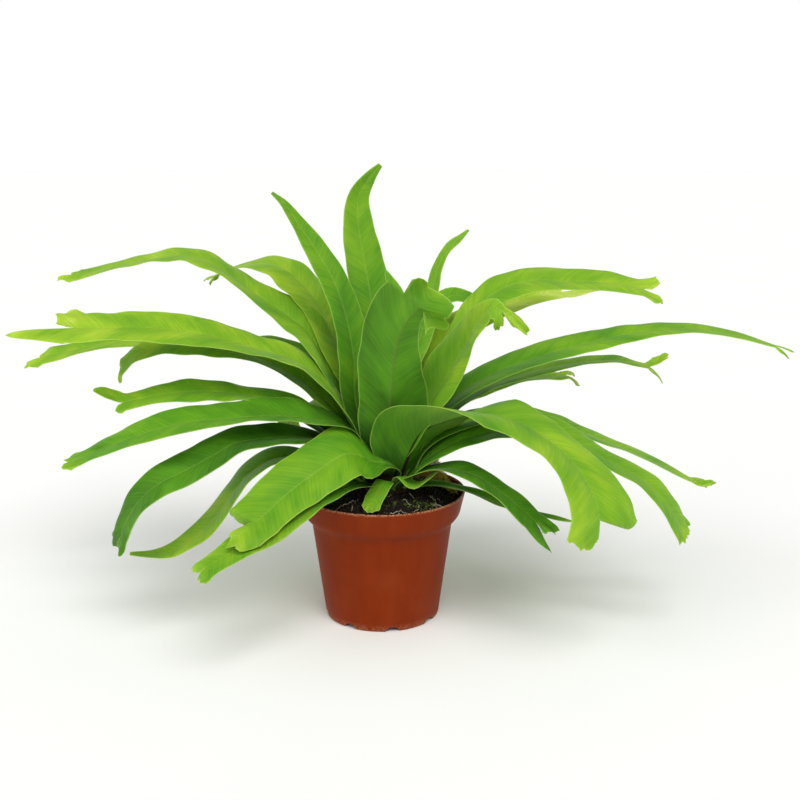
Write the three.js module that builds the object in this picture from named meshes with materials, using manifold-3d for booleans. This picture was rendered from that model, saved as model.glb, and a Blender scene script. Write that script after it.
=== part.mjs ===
// A crested bird's-nest fern in a 12 cm nursery pot, in millimetres, +Z up.
// The origin is the centre of the pot's underside, +X is the viewer's right and -Y faces the viewer.
import * as THREE from "three";
import { mergeVertices } from "three/addons/utils/BufferGeometryUtils.js";
import Module from "manifold-3d";

const wasm = await Module();
wasm.setup();

// Driving dimensions.
const CLEARANCE = 0.3; // between neighbouring pieces
const POT = {
  height: 93,
  rimRadius: 60,
  rimUndersideRadius: 56,
  rimDepth: 17, // the tapered collar under the rim
  shoulderDepth: 22.5, // the collar and the chamfer below it
  shoulderRadius: 50.6,
  baseRadius: 41,
  baseRounding: 2,
  wall: 1.6,
};
const NOTCH = { count: 8, width: 9.5, height: 2.9, innerRadius: 33 };
const DRAIN = { count: 4, radius: 3.5, circle: 20 };
const SOIL = {
  edgeHeight: 88,
  moundHeight: 97,
  crownHole: 18.6,
  rings: [0.86, 0.7, 0.52, 0.35, 0.18, 0], // rings of corners on its top, by share of its radius
  crumbHeight: [0.7, 0.5],
};
const CROWN = { x: 4, y: -5, z: 90, radius: 18, height: 20, rootDepth: 22 };
const RING_ELEVATION = { low: 28, middle: 48, high: 68 }; // degrees up the crown's dome
const BLADE = {
  thickness: 0.7,
  stalkThickness: 1.8,
  stalkWidth: 3.6,
  stalkShare: 0.06, // of the frond's length
  point: 0.12, // width at a plain tip, by share of the widest
  neck: 0.7, // the same at the foot of a crest
  cup: 0.18, // how far the margins droop, by share of the half width
};
const WAVE = { height: 1.6, count: 2.5, lag: 2 }; // of the margins; the right one lags by `lag`
const CREST = { rows: 3, tooth: 0.35, curl: 15, ruffle: 12 }; // curl and ruffle in degrees
// Faces: sides of the turned pieces, strips across a blade and the length of one row of faces.
const FACES = { pot: 48, soil: 40, crown: 24, crownRings: 6, strips: 4, rowLength: 19 };

// Leaf and holder colours.
const TINT = { fresh: "#7FB23A", mid: "#5E9A2B", deep: "#3F7F25", pale: "#93B85A" };

const plant = new THREE.Group();

function addPiece(name, geometry, color, roughness) {
  const material = new THREE.MeshStandardMaterial({ color, roughness, metalness: 0 });
  const mesh = new THREE.Mesh(geometry, material);
  mesh.name = name;
  plant.add(mesh);
}

function solidOf(geometry) {
  const bare = geometry.clone();
  bare.deleteAttribute("normal");
  bare.deleteAttribute("uv");
  const merged = mergeVertices(bare, 1e-4);
  return new wasm.Manifold(
    new wasm.Mesh({
      numProp: 3,
      vertProperties: merged.attributes.position.array,
      triVerts: new Uint32Array(merged.index.array),
    }),
  );
}

function geometryOf(solid) {
  const mesh = solid.getMesh();
  return new THREE.BufferGeometry()
    .setAttribute("position", new THREE.BufferAttribute(mesh.vertProperties, 3))
    .setIndex(new THREE.BufferAttribute(mesh.triVerts, 1));
}

// A profile of [radius, height] corners turned about the vertical axis.
function turned(profile, sides) {
  const corners = profile.map(([radius, height]) => new THREE.Vector2(radius, height));
  return new THREE.LatheGeometry(corners, sides).rotateX(Math.PI / 2);
}

// Pot: one moulded cup with a tapered collar, arched notches in its bottom edge and drain holes.
function potWallRadius(height) {
  const shoulder = POT.height - POT.shoulderDepth;
  const collar = POT.height - POT.rimDepth;
  if (height < shoulder) {
    return POT.baseRadius + ((POT.shoulderRadius - POT.baseRadius) * height) / shoulder;
  }
  if (height < collar) {
    const share = (height - shoulder) / (collar - shoulder);
    return POT.shoulderRadius + (POT.rimUndersideRadius - POT.shoulderRadius) * share;
  }
  const share = (height - collar) / (POT.height - collar);
  return POT.rimUndersideRadius + (POT.rimRadius - POT.rimUndersideRadius) * share;
}

const POT_STATIONS = [
  POT.baseRounding,
  POT.height - POT.shoulderDepth,
  POT.height - POT.rimDepth,
  POT.height,
];

function makePot() {
  const outside = POT_STATIONS.map((height) => [potWallRadius(height), height]);
  const inside = POT_STATIONS.map((height) => [potWallRadius(height) - POT.wall, height]);
  inside[0][1] = POT.wall;
  const profile = [
    [0, 0],
    [POT.baseRadius - POT.baseRounding, 0],
    ...outside,
    ...inside.reverse(),
    [0, POT.wall],
  ];
  let pot = solidOf(turned(profile, FACES.pot));
  for (let i = 0; i < NOTCH.count; i++) {
    pot = pot.subtract(solidOf(notchCutter((2 * Math.PI * (i + 0.25)) / NOTCH.count)));
  }
  for (let i = 0; i < DRAIN.count; i++) {
    const angle = (2 * Math.PI * (i + 0.5)) / DRAIN.count;
    const hole = new THREE.CylinderGeometry(DRAIN.radius, DRAIN.radius, 4 * POT.wall, 16)
      .rotateX(Math.PI / 2)
      .translate(DRAIN.circle * Math.cos(angle), DRAIN.circle * Math.sin(angle), 0);
    pot = pot.subtract(solidOf(hole));
  }
  return geometryOf(pot);
}

function notchCutter(angle) {
  const arch = new THREE.Shape();
  const half = NOTCH.width / 2;
  arch.moveTo(-half, -1);
  arch.lineTo(half, -1);
  arch.lineTo(half, 0);
  arch.absellipse(0, 0, half, NOTCH.height, 0, Math.PI, false, 0);
  arch.lineTo(-half, -1);
  const depth = POT.baseRadius + 2 - NOTCH.innerRadius;
  return new THREE.ExtrudeGeometry(arch, { depth, bevelEnabled: false, curveSegments: 8 })
    .rotateX(Math.PI / 2)
    .translate(0, -NOTCH.innerRadius, 0)
    .rotateZ(angle);
}

// Soil: fills the pot up to an uneven mound round the plain hole that the crown stands in.
function soilHeight(x, y) {
  const radius = Math.hypot(x, y);
  const share = Math.min(1, radius / (POT.rimRadius - 6));
  const mound = SOIL.moundHeight - (SOIL.moundHeight - SOIL.edgeHeight) * share ** 2;
  const [large, small] = SOIL.crumbHeight;
  const crumbs = large * Math.sin(x * 0.31 + 1) * Math.cos(y * 0.27);
  return mound + crumbs + small * Math.sin(x * 0.6 - y * 0.47);
}

function makeSoil() {
  const gap = POT.wall + CLEARANCE;
  const profile = [[0, gap]];
  for (const height of [gap, ...POT_STATIONS.slice(1, 3), SOIL.edgeHeight]) {
    profile.push([potWallRadius(height) - gap, height]);
  }
  const edge = potWallRadius(SOIL.edgeHeight) - gap;
  for (const share of SOIL.rings) {
    profile.push([edge * share, SOIL.moundHeight]);
  }
  const body = turned(profile, FACES.soil);
  const place = body.attributes.position;
  for (let i = 0; i < place.count; i++) {
    if (place.getZ(i) > SOIL.edgeHeight + 1) {
      place.setZ(i, soilHeight(place.getX(i), place.getY(i)));
    }
  }
  return geometryOf(solidOf(body).subtract(solidOf(crownShape(SOIL.crownHole - CROWN.radius))));
}

// Crown: the short upright rhizome, a dome on a stub, with `grown` mm added all round.
function crownShape(grown) {
  const radius = CROWN.radius + grown;
  const height = CROWN.height + grown;
  const profile = [
    [0, CROWN.z - CROWN.rootDepth - grown],
    [radius * 0.8, CROWN.z - CROWN.rootDepth - grown],
  ];
  for (let i = 0; i < FACES.crownRings; i++) {
    const angle = ((Math.PI / 2) * i) / FACES.crownRings;
    profile.push([radius * Math.cos(angle), CROWN.z + height * Math.sin(angle)]);
  }
  profile.push([0, CROWN.z + height]);
  return turned(profile, FACES.crown).translate(CROWN.x, CROWN.y, 0);
}

// Fronds. Each has [ring, azimuth] of its root on the crown, then the course of its midrib: places
// along it from root to tip. Azimuth 0 is +X and 90 is away from the viewer. At even steps along
// the frond, `fold` lifts both margins by that many degrees and `roll` lifts the right-hand one,
// seen from the root. `widest` is the share of the length where the blade is widest, `neck` its
// width at the crest, and `facing` the azimuth the upper face leans towards before it is rolled.
// `crest` holds the lobes of the tip from left to right: their [first, last] directions off the
// midrib in degrees, their length and, for some, their own curl. No crest is a plain point.
const FRONDS = [
  {
    name: "frond_left_high", root: ["middle", 158],
    course: [[-27, 10, 151], [-52, 25, 200], [-69, 31, 221], [-92, 37, 237], [-116, 42, 249],
      [-158, 48, 254], [-212, 55, 243]],
    width: 34, widest: 0.4, fold: [35, 30, 15], roll: [5, 15, 25, 0, 5, 10],
    crest: [[-20, -5, 12], [0, 20, 24]],
  },
  {
    name: "frond_left_broad", root: ["middle", 184],
    course: [[-25, -4, 148], [-53, -6, 184], [-91, -8, 200], [-125, -8, 208], [-165, -6, 211],
      [-198, -4, 211]],
    width: 42, widest: 0.35, neck: 0.95, fold: [35, 30, 15], roll: [5, 10, 15, 20],
    crest: [[-12, -5, 62], [18, 34, 22]], curl: 5,
  },
  {
    name: "frond_left_under", root: ["low", 150],
    course: [[-27, 19, 150], [-64, 46, 184], [-112, 54, 191], [-158, 58, 191], [-204, 61, 188],
      [-244, 63, 180]],
    width: 30, fold: [30, 30, 15], roll: [5, 15, 10], crest: [[-15, -2, 20], [5, 20, 16]],
  },
  {
    name: "frond_left_hook", root: ["low", 170],
    course: [[-26, 3, 138], [-54, 9, 166], [-90, 16, 183], [-122, 19, 190], [-151, 20, 191],
      [-173, 21, 187], [-183, 22, 180]],
    width: 26, fold: [30, 30, 15], roll: [5, 10, 10], crest: [[-20, -5, 10], [5, 20, 14]],
  },
  {
    name: "frond_left_narrow", root: ["low", 189],
    course: [[-27, -8, 126], [-61, -6, 154], [-92, -3, 165], [-126, -2, 168], [-154, -3, 166],
      [-178, -4, 161]],
    width: 26, neck: 0.6, fold: [30, 30, 15], roll: [5, 5, 10], crest: [[-20, -2, 8], [5, 35, 22]],
    curl: -35,
  },
  {
    name: "frond_left_wide", root: ["middle", 210],
    course: [[-25, -15, 136], [-49, -27, 155], [-79, -37, 158], [-109, -43, 157], [-135, -47, 153],
      [-161, -50, 147], [-194, -53, 138]],
    width: 38, widest: 0.4, neck: 0.75, fold: [30, 30, 15], roll: [5, 10, 20],
    crest: [[-25, -10, 14], [-5, 8, 22], [14, 28, 16]],
  },
  {
    name: "frond_left_arching", root: ["low", 208],
    course: [[-27, -18, 116], [-58, -31, 135], [-88, -45, 141], [-112, -54, 138], [-136, -62, 126],
      [-155, -68, 112], [-166, -72, 95]],
    width: 42, neck: 0.6, fold: [30, 30, 15], roll: [5, 10, 20], crest: [[-15, 0, 20], [3, 22, 16]],
  },
  {
    name: "frond_left_low_hook", root: ["low", 227],
    course: [[-32, -25, 111], [-60, -30, 120], [-80, -32, 121], [-95, -34, 110], [-110, -37, 92],
      [-126, -42, 76], [-144, -46, 66], [-158, -49, 63]],
    width: 27, neck: 0.45, fold: [30, 20, 10], roll: [0, 10, 25], crest: [[-15, 0, 10], [5, 20, 8]],
    curl: -15,
  },
  {
    name: "frond_front_left_broad", root: ["middle", 256],
    course: [[-2, -29, 122], [-19, -43, 133], [-39, -60, 130], [-57, -76, 120], [-71, -91, 109],
      [-78, -98, 104]],
    width: 46, widest: 0.5, neck: 0.85, fold: [25, 20, 10], roll: [0, 20, 15, 10],
    crest: [[-18, 0, 24], [12, 30, 10]],
  },
  {
    name: "frond_front_left_under", root: ["low", 245],
    course: [[-15, -34, 106], [-32, -51, 110], [-53, -74, 103], [-75, -96, 94], [-98, -116, 85]],
    width: 27, fold: [25, 20, 10], roll: [0, 5, 10], crest: [[-20, -2, 12], [4, 25, 14]],
  },
  {
    name: "frond_upright_tall", root: ["high", 95], facing: 95,
    course: [[0, 14, 148], [-6, 26, 189], [-9, 34, 225], [-14, 40, 253], [-18, 44, 277],
      [-17, 46, 297], [-9, 46, 311], [-2, 46, 319]],
    width: 30, widest: 0.55, fold: [25, 25, 20],
  },
  {
    name: "frond_upright_left", root: ["high", 155], facing: 120,
    course: [[-9, 3, 150], [-22, 8, 193], [-35, 12, 228], [-50, 16, 257], [-61, 18, 279],
      [-70, 20, 295], [-78, 20, 303]],
    width: 25, widest: 0.35, fold: [25, 25, 20],
  },
  {
    name: "frond_back_left_bent", root: ["middle", 128], facing: 130,
    course: [[-15, 24, 151], [-31, 42, 183], [-48, 55, 209], [-63, 63, 230], [-83, 72, 242],
      [-105, 80, 241], [-122, 86, 236]],
    width: 34, fold: [25, 25, 15], crest: [[-25, -5, 12], [5, 25, 16]],
  },
  {
    name: "frond_centre_crested", root: ["high", 262], facing: 268,
    course: [[1, -21, 142], [3, -28, 170], [6, -33, 197], [11, -37, 217], [20, -43, 231]],
    width: 52, widest: 0.4, neck: 0.75, fold: [30, 30, 20],
    crest: [[-80, -45, 19, 60], [-32, 0, 25, 8], [-4, 8, 7, 10], [34, 48, 18, -5]], ruffle: 6,
  },
  {
    name: "frond_back_right_thin", root: ["middle", 74], facing: 60,
    course: [[12, 21, 148], [25, 44, 193], [37, 66, 227], [45, 78, 247], [55, 88, 261], [65, 94, 270]],
    width: 22, fold: [25, 25, 15],
  },
  {
    name: "frond_right_crested", root: ["high", 340], facing: 335,
    course: [[26, -9, 146], [39, -13, 174], [51, -19, 198], [62, -27, 218], [73, -35, 230],
      [84, -42, 230]],
    width: 44, widest: 0.4, fold: [20, 20, 15], roll: [-35, -50, -40],
    crest: [[-30, -10, 14], [10, 30, 16]], curl: 50,
  },
  {
    name: "frond_right_behind", root: ["high", 40], facing: 45,
    course: [[14, 14, 150], [25, 31, 189], [36, 43, 216], [50, 51, 225], [65, 57, 223], [79, 60, 216]],
    width: 24, fold: [25, 25, 15],
  },
  {
    name: "frond_right_high", root: ["middle", 20],
    course: [[28, 8, 148], [46, 20, 188], [63, 30, 218], [85, 36, 234], [111, 40, 240],
      [136, 42, 239], [166, 42, 237], [190, 42, 234]],
    width: 32, neck: 0.8, fold: [30, 30, 15], roll: [-5, -10, -15], crest: [[-25, -5, 16], [5, 25, 18]],
  },
  {
    name: "frond_right_yellow", root: ["middle", 47], tint: "fresh",
    course: [[20, 24, 146], [37, 43, 184], [58, 59, 206], [89, 75, 216], [117, 88, 219],
      [141, 98, 219]],
    width: 34, fold: [30, 30, 15], roll: [-5, -10, -10], crest: [[-28, -10, 14], [-6, 10, 34]], curl: 5,
  },
  {
    name: "frond_right_long", root: ["middle", 352],
    course: [[32, 0, 136], [56, 8, 157], [84, 12, 171], [117, 16, 183], [149, 20, 192],
      [185, 24, 200], [222, 26, 203], [258, 28, 197]],
    width: 36, widest: 0.4, fold: [30, 30, 15], roll: [-5, -10, -15], crest: [[-6, 2, 34], [8, 14, 34]],
    curl: 12, ruffle: 4,
  },
  {
    name: "frond_right_second", root: ["low", 30],
    course: [[34, 15, 134], [69, 40, 155], [104, 60, 165], [143, 76, 171], [180, 86, 172],
      [208, 91, 166]],
    width: 26, fold: [30, 30, 15], roll: [-5, -10], crest: [[-50, -20, 14], [5, 30, 16]],
  },
  {
    name: "frond_right_third", root: ["low", 52],
    course: [[28, 26, 128], [62, 56, 147], [95, 84, 153], [134, 109, 152]],
    width: 23, fold: [30, 30, 15], roll: [-5, -10], crest: [[-30, -10, 14], [10, 30, 12]],
  },
  {
    name: "frond_front_right_broad", root: ["middle", 312],
    course: [[22, -24, 128], [42, -32, 151], [66, -45, 163], [92, -62, 160], [113, -80, 148],
      [128, -96, 132], [136, -104, 119]],
    width: 48, widest: 0.25, neck: 0.85, fold: [35, 25, 10], roll: [5, -5, -10],
    crest: [[-50, -22, 26], [-5, 15, 26]],
  },
  {
    name: "frond_right_low_far", root: ["low", 354],
    course: [[32, -6, 128], [58, -4, 145], [90, 0, 150], [122, 3, 145], [156, 3, 131],
      [189, 3, 115], [222, 2, 99]],
    width: 28, fold: [30, 30, 15], roll: [-5, -10, -5], crest: [[-30, -10, 16], [10, 30, 12]],
  },
  {
    name: "frond_right_low_near", root: ["low", 335],
    course: [[30, -20, 118], [54, -24, 135], [82, -27, 142], [114, -30, 141], [147, -34, 131],
      [173, -38, 116], [192, -42, 98], [202, -44, 80]],
    width: 36, neck: 0.8, fold: [30, 30, 15], roll: [-5, -15, -20], crest: [[-15, 0, 10], [2, 18, 12]],
  },
  {
    name: "frond_front_right_low", root: ["low", 296],
    course: [[20, -31, 113], [40, -38, 118], [61, -45, 116], [80, -55, 107], [94, -64, 98],
      [107, -71, 86]],
    width: 30, widest: 0.45, fold: [25, 20, 10], roll: [0, -5, -15], crest: [[-20, -2, 8], [3, 22, 12]],
  },
  {
    name: "frond_front_right_thin", root: ["low", 316],
    course: [[28, -21, 102], [42, -23, 103], [62, -27, 99], [86, -31, 91], [110, -35, 85],
      [132, -37, 81]],
    width: 13, fold: [25, 20, 10], roll: [-5],
  },
  {
    name: "frond_back_arching", root: ["low", 88],
    course: [[4, 32, 128], [7, 62, 148], [9, 92, 152], [10, 120, 140], [10, 140, 122]],
    width: 34, fold: [30, 30, 15], roll: [0], crest: [[-25, -5, 18], [5, 25, 18]],
  },
  {
    name: "frond_back_left_high", root: ["middle", 100],
    course: [[2, 34, 144], [-6, 68, 176], [-16, 98, 189], [-25, 124, 181], [-31, 143, 164]],
    width: 34, fold: [30, 30, 15], roll: [0], crest: [[-25, -5, 18], [5, 25, 18]],
  },
  {
    name: "frond_back_right_arching", root: ["low", 70],
    course: [[17, 32, 136], [28, 62, 162], [36, 92, 172], [41, 118, 164], [44, 136, 148]],
    width: 30, fold: [30, 30, 15], roll: [0], crest: [[-25, -5, 18], [5, 25, 18]],
  },
  {
    name: "frond_back_low", root: ["low", 108],
    course: [[-6, 29, 112], [-16, 56, 122], [-23, 84, 118], [-28, 108, 102], [-30, 124, 84]],
    width: 30, fold: [30, 30, 15], roll: [0], crest: [[-25, -5, 18], [5, 25, 18]],
  },
  {
    name: "frond_back_low_left", root: ["low", 130],
    course: [[-20, 18, 120], [-40, 42, 138], [-56, 62, 140], [-68, 80, 130], [-76, 93, 117]],
    width: 28, fold: [30, 30, 15], roll: [0], crest: [[-25, -5, 14], [5, 25, 14]],
  },
  {
    name: "frond_front_stub", root: ["low", 269],
    course: [[2, -28, 103], [-1, -34, 101], [-3, -40, 98], [-4, -45, 95]],
    width: 12, fold: [15, 10, 5], rows: 5, neck: 0.8, crest: [[-15, 15, 5]],
  },
  {
    name: "frond_front_curl", root: ["low", 283],
    course: [[10, -30, 99], [17, -37, 97], [26, -40, 98], [34, -38, 103]],
    width: 11, fold: [15, 10, 5], rows: 5, tint: "pale",
  },
];

// The midrib's places, directions and the direction of the right-hand margin, row by row.
function framesAlong(frond, rows) {
  const [ring, azimuth] = frond.root;
  const turn = THREE.MathUtils.degToRad(azimuth);
  const rise = THREE.MathUtils.degToRad(RING_ELEVATION[ring]);
  const root = new THREE.Vector3(
    CROWN.x + CROWN.radius * Math.cos(rise) * Math.cos(turn),
    CROWN.y + CROWN.radius * Math.cos(rise) * Math.sin(turn),
    CROWN.z + CROWN.height * Math.sin(rise),
  );
  const points = [root, ...frond.course.map((p) => new THREE.Vector3(...p))];
  const curve = new THREE.CatmullRomCurve3(points, false, "catmullrom", 0.5);
  const chord = points.at(-1).clone().sub(root);
  const facing = frond.facing === undefined
    ? Math.atan2(chord.y, chord.x)
    : THREE.MathUtils.degToRad(frond.facing);
  let side = new THREE.Vector3(Math.sin(facing), -Math.cos(facing), 0);
  const frames = [];
  for (let i = 0; i <= rows; i++) {
    const share = i / rows;
    const place = curve.getPointAt(share);
    const ahead = curve.getTangentAt(share);
    side = side.clone().addScaledVector(ahead, -side.dot(ahead)).normalize();
    const lift = THREE.MathUtils.degToRad(blend(frond.roll ?? [0], share));
    const right = side.clone().applyAxisAngle(ahead, -lift);
    frames.push({ share, place, ahead, right, up: right.clone().cross(ahead) });
  }
  return { frames, length: curve.getLength() };
}

// The value at `share` along an evenly spaced list.
function blend(values, share) {
  const at = share * (values.length - 1);
  const i = Math.min(values.length - 2, Math.floor(at));
  return values.length === 1 ? values[0] : values[i] + (values[i + 1] - values[i]) * (at - i);
}

function halfWidth(frond, share) {
  const widest = frond.widest ?? 0.5;
  const tip = frond.crest ? (frond.neck ?? BLADE.neck) : BLADE.point;
  const stalk = BLADE.stalkWidth / frond.width;
  const rising = Math.max(0, Math.min(1, (share - BLADE.stalkShare) / (widest - BLADE.stalkShare)));
  const falling = Math.max(0, (share - widest) / (1 - widest));
  const swell = Math.sin((Math.PI / 2) * rising);
  return (frond.width / 2) * (stalk + (1 - stalk) * swell - (1 - tip) * falling ** 2);
}

// How far the margin's wave lifts the blade at `across`, from -1 to 1.
function waveLift(frond, share, across) {
  const lag = (frond.lag ?? 0) + (across > 0 ? WAVE.lag : 0);
  const grown = Math.min(1, 3 * share) * across ** 2;
  return WAVE.height * grown * Math.sin(2 * Math.PI * WAVE.count * share + lag);
}

// The blade's middle surface: rows across the midrib, then the lobes of the crest.
function bladeSheet(frond) {
  const rows = frond.rows ?? Math.round(courseLength(frond) / FACES.rowLength);
  const strips = FACES.strips;
  const { frames } = framesAlong(frond, rows);
  const sheet = { places: [], thickness: [], faces: [] };
  for (const { share, place, right, up } of frames) {
    const half = halfWidth(frond, share);
    const fold = THREE.MathUtils.degToRad(blend(frond.fold, share));
    const stalk = Math.max(0, 1 - share / (2 * BLADE.stalkShare));
    for (let column = 0; column <= strips; column++) {
      const across = (2 * column) / strips - 1;
      const section = Math.sin(fold) * Math.abs(across) - BLADE.cup * across ** 2;
      const point = place.clone().addScaledVector(right, across * half * Math.cos(fold));
      point.addScaledVector(up, half * section + waveLift(frond, share, across));
      sheet.places.push(point);
      sheet.thickness.push(BLADE.thickness + (BLADE.stalkThickness - BLADE.thickness) * stalk);
    }
  }
  for (let row = 0; row < rows; row++) {
    for (let column = 0; column < strips; column++) {
      const first = row * (strips + 1) + column;
      addPatch(sheet.faces, first, first + 1, first + strips + 2, first + strips + 1);
    }
  }
  if (frond.crest) {
    addCrest(sheet, frond, frames.at(-1), rows * (strips + 1));
  }
  return sheet;
}

function courseLength(frond) {
  return framesAlong(frond, 1).length;
}

function addPatch(faces, a, b, c, d) {
  faces.push([a, b, c], [a, c, d]);
}

// Lobes fan out from the last row, each from its own share of the strips.
function addCrest(sheet, frond, { ahead, right, up }, lastRow) {
  const split = { 1: [4], 2: [2, 2], 3: [1, 2, 1], 4: [1, 1, 1, 1] }[frond.crest.length];
  let column = 0;
  frond.crest.forEach(([first, last, length, ownCurl], lobe) => {
    const strips = split[lobe];
    let previous = Array.from({ length: strips + 1 }, (_, i) => lastRow + column + i);
    const ruffle = (lobe % 2 ? 1 : -1) * (frond.ruffle ?? CREST.ruffle);
    const bend = ownCurl ?? frond.curl ?? CREST.curl;
    for (let row = 1; row <= CREST.rows; row++) {
      const reach = row / CREST.rows;
      const curl = THREE.MathUtils.degToRad(bend * reach + ruffle);
      const current = previous.map((_, i) => {
        const across = i / strips;
        const turn = THREE.MathUtils.degToRad(first + (last - first) * across);
        const tooth = row === CREST.rows ? CREST.tooth * Math.abs(2 * across - 1) : 0;
        const run = length * (reach - tooth);
        const point = sheet.places[lastRow + column + i].clone();
        point.addScaledVector(ahead, run * Math.cos(curl) * Math.cos(turn));
        point.addScaledVector(right, run * Math.cos(curl) * Math.sin(turn));
        point.addScaledVector(up, -run * Math.sin(curl));
        sheet.places.push(point);
        sheet.thickness.push(BLADE.thickness);
        return sheet.places.length - 1;
      });
      for (let i = 0; i < strips; i++) {
        addPatch(sheet.faces, previous[i], previous[i + 1], current[i + 1], current[i]);
      }
      previous = current;
    }
    column += strips;
  });
}

// Both faces of a sheet, half its thickness either way, and a wall round its edge.
function thicken({ places, thickness, faces }) {
  const normals = places.map(() => new THREE.Vector3());
  const edges = new Set();
  for (const [a, b, c] of faces) {
    const normal = places[b].clone().sub(places[a]).cross(places[c].clone().sub(places[a]));
    for (const corner of [a, b, c]) normals[corner].add(normal);
    for (const [from, to] of [[a, b], [b, c], [c, a]]) edges.add(from + "," + to);
  }
  const count = places.length;
  const positions = [];
  for (const face of [0.5, -0.5]) {
    places.forEach((place, i) => {
      const offset = normals[i].clone().normalize().multiplyScalar(face * thickness[i]);
      positions.push(...place.clone().add(offset).toArray());
    });
  }
  const index = [];
  for (const [a, b, c] of faces) {
    index.push(a, b, c, count + a, count + c, count + b);
  }
  for (const edge of edges) {
    const [from, to] = edge.split(",").map(Number);
    if (!edges.has(to + "," + from)) {
      index.push(from, count + from, count + to, from, count + to, to);
    }
  }
  return new THREE.BufferGeometry()
    .setAttribute("position", new THREE.Float32BufferAttribute(positions, 3))
    .setIndex(index);
}

addPiece("pot", makePot(), "#8A3B20", 0.5);
addPiece("soil", makeSoil(), "#1D1612", 0.95);
addPiece("crown", crownShape(0), "#3A2A1C", 0.9);
const crownRoom = solidOf(crownShape(CLEARANCE));
for (const frond of FRONDS) {
  const blade = solidOf(thicken(bladeSheet(frond))).subtract(crownRoom);
  addPiece(frond.name, geometryOf(blade), TINT[frond.tint ?? "mid"], 0.45);
}

export default plant;
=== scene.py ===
"""A crested bird's-nest fern in a 12 cm nursery pot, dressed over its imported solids.

The origin is the centre of the pot's underside, +X is the viewer's right, -Y faces the viewer and
+Z is up. Sizes are in millimetres, and new_piece turns them to Blender's metres.
"""

import itertools

import bpy
import numpy as np
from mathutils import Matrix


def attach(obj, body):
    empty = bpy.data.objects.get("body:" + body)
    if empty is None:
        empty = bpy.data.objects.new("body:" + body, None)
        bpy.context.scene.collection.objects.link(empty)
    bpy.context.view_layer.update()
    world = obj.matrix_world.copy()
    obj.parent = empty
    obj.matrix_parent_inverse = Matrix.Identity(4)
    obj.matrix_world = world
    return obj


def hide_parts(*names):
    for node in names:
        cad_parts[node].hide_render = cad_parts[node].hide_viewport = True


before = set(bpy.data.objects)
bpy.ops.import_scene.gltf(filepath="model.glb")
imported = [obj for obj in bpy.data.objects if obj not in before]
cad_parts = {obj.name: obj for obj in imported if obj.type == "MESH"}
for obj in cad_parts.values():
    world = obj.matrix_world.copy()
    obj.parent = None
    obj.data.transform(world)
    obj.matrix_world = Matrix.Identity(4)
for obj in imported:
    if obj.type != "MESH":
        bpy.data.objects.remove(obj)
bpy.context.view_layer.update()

# ----------------------------------------
# Pot: a nursery pot of polypropylene, injection-moulded in one piece, with a flared collar under
# its rim. Eight arches in its bottom edge and four holes in its floor let the water out.

TAU = 2 * np.pi
POT_HEIGHT = 93
POT_WALL = 1.6
BASE_RADIUS = 41
WAIST_RADIUS, WAIST_HEIGHT = 50.6, 70.5  # top of the straight wall, under the collar
COLLAR_RADIUS, COLLAR_HEIGHT = 56, 76  # the collar's foot
RIM_RADIUS = 60
FLOOR_DISC = 2  # radius of the flat disc that closes the middle of the floor
# The section's corners, from the middle of the underside round the rim to the middle of the
# floor: radius, height and how far the corner's rounding reaches along both of its edges.
POT_CORNERS = np.array(
    [
        [FLOOR_DISC, 0, 0],
        [BASE_RADIUS, 0, 1.7],
        [WAIST_RADIUS, WAIST_HEIGHT, 2.4],
        [COLLAR_RADIUS, COLLAR_HEIGHT, 3.2],
        [RIM_RADIUS, POT_HEIGHT, 0.75],
        [RIM_RADIUS - POT_WALL, POT_HEIGHT, 0.75],
        [COLLAR_RADIUS - POT_WALL, COLLAR_HEIGHT, 2.6],
        [WAIST_RADIUS - POT_WALL, WAIST_HEIGHT, 2.4],
        [BASE_RADIUS - POT_WALL, POT_WALL, 1.2],
        [FLOOR_DISC, POT_WALL, 0],
    ]
)
POT_SIDES = 288
ARCHES = 8
ARCH_HEIGHT = 2.9
ARCH_HALF_WIDTH = 4.75
ARCH_FADE = 8.0  # the arches' lift is gone at this height
ARCH_START = 33.0  # radius where the channel behind an arch begins
DRAINS = 4
DRAIN_RADIUS = 3.5
DRAIN_CIRCLE = 20  # radius of the circle of their centres
DRAIN_SIDES = 32


def rounded_path(corners, steps=6, spacing=4.0):
    """Points along a path with rounded corners, at most `spacing` apart.

    Corner C between A and B, each `reach` away along its edge, becomes the curve
    P(t) = (1 - t)^2 A + 2 t (1 - t) C + t^2 B.
    """
    places, reach = corners[1:-1, :2], corners[1:-1, 2:]
    back = corners[:-2, :2] - places
    ahead = corners[2:, :2] - places
    start = places + reach * back / np.linalg.norm(back, axis=1)[:, None]
    end = places + reach * ahead / np.linalg.norm(ahead, axis=1)[:, None]
    t = np.linspace(0, 1, steps)[:, None, None]
    arcs = (1 - t) ** 2 * start + 2 * t * (1 - t) * places + t**2 * end
    path = np.vstack([corners[:1, :2], arcs.transpose(1, 0, 2).reshape(-1, 2), corners[-1:, :2]])
    run = np.append(0, np.cumsum(np.linalg.norm(np.diff(path, axis=0), axis=1)))
    stations = np.union1d(run, np.arange(0, run[-1], spacing))
    return np.stack([np.interp(stations, run, path[:, k]) for k in (0, 1)], 1)


def turned(path, sides):
    """The path turned about Z: (r cos a, r sin a, z), one row of points per place on the path."""
    angle = TAU * np.arange(sides) / sides
    radius, height = path[:, :1], path[:, 1:]
    return np.stack(
        [radius * np.cos(angle), radius * np.sin(angle), height + 0 * angle], axis=2
    )


def grid_faces(rows, columns, closed=False):
    """Quads of a grid of points numbered row by row, joined round at its last column if closed."""
    row = np.arange(rows - 1)[:, None] * columns
    column = np.arange(columns if closed else columns - 1)
    following = (column + 1) % columns
    corners = [row + column, row + following, row + columns + following, row + columns + column]
    return np.stack(corners, axis=2).reshape(-1, 4)


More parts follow.
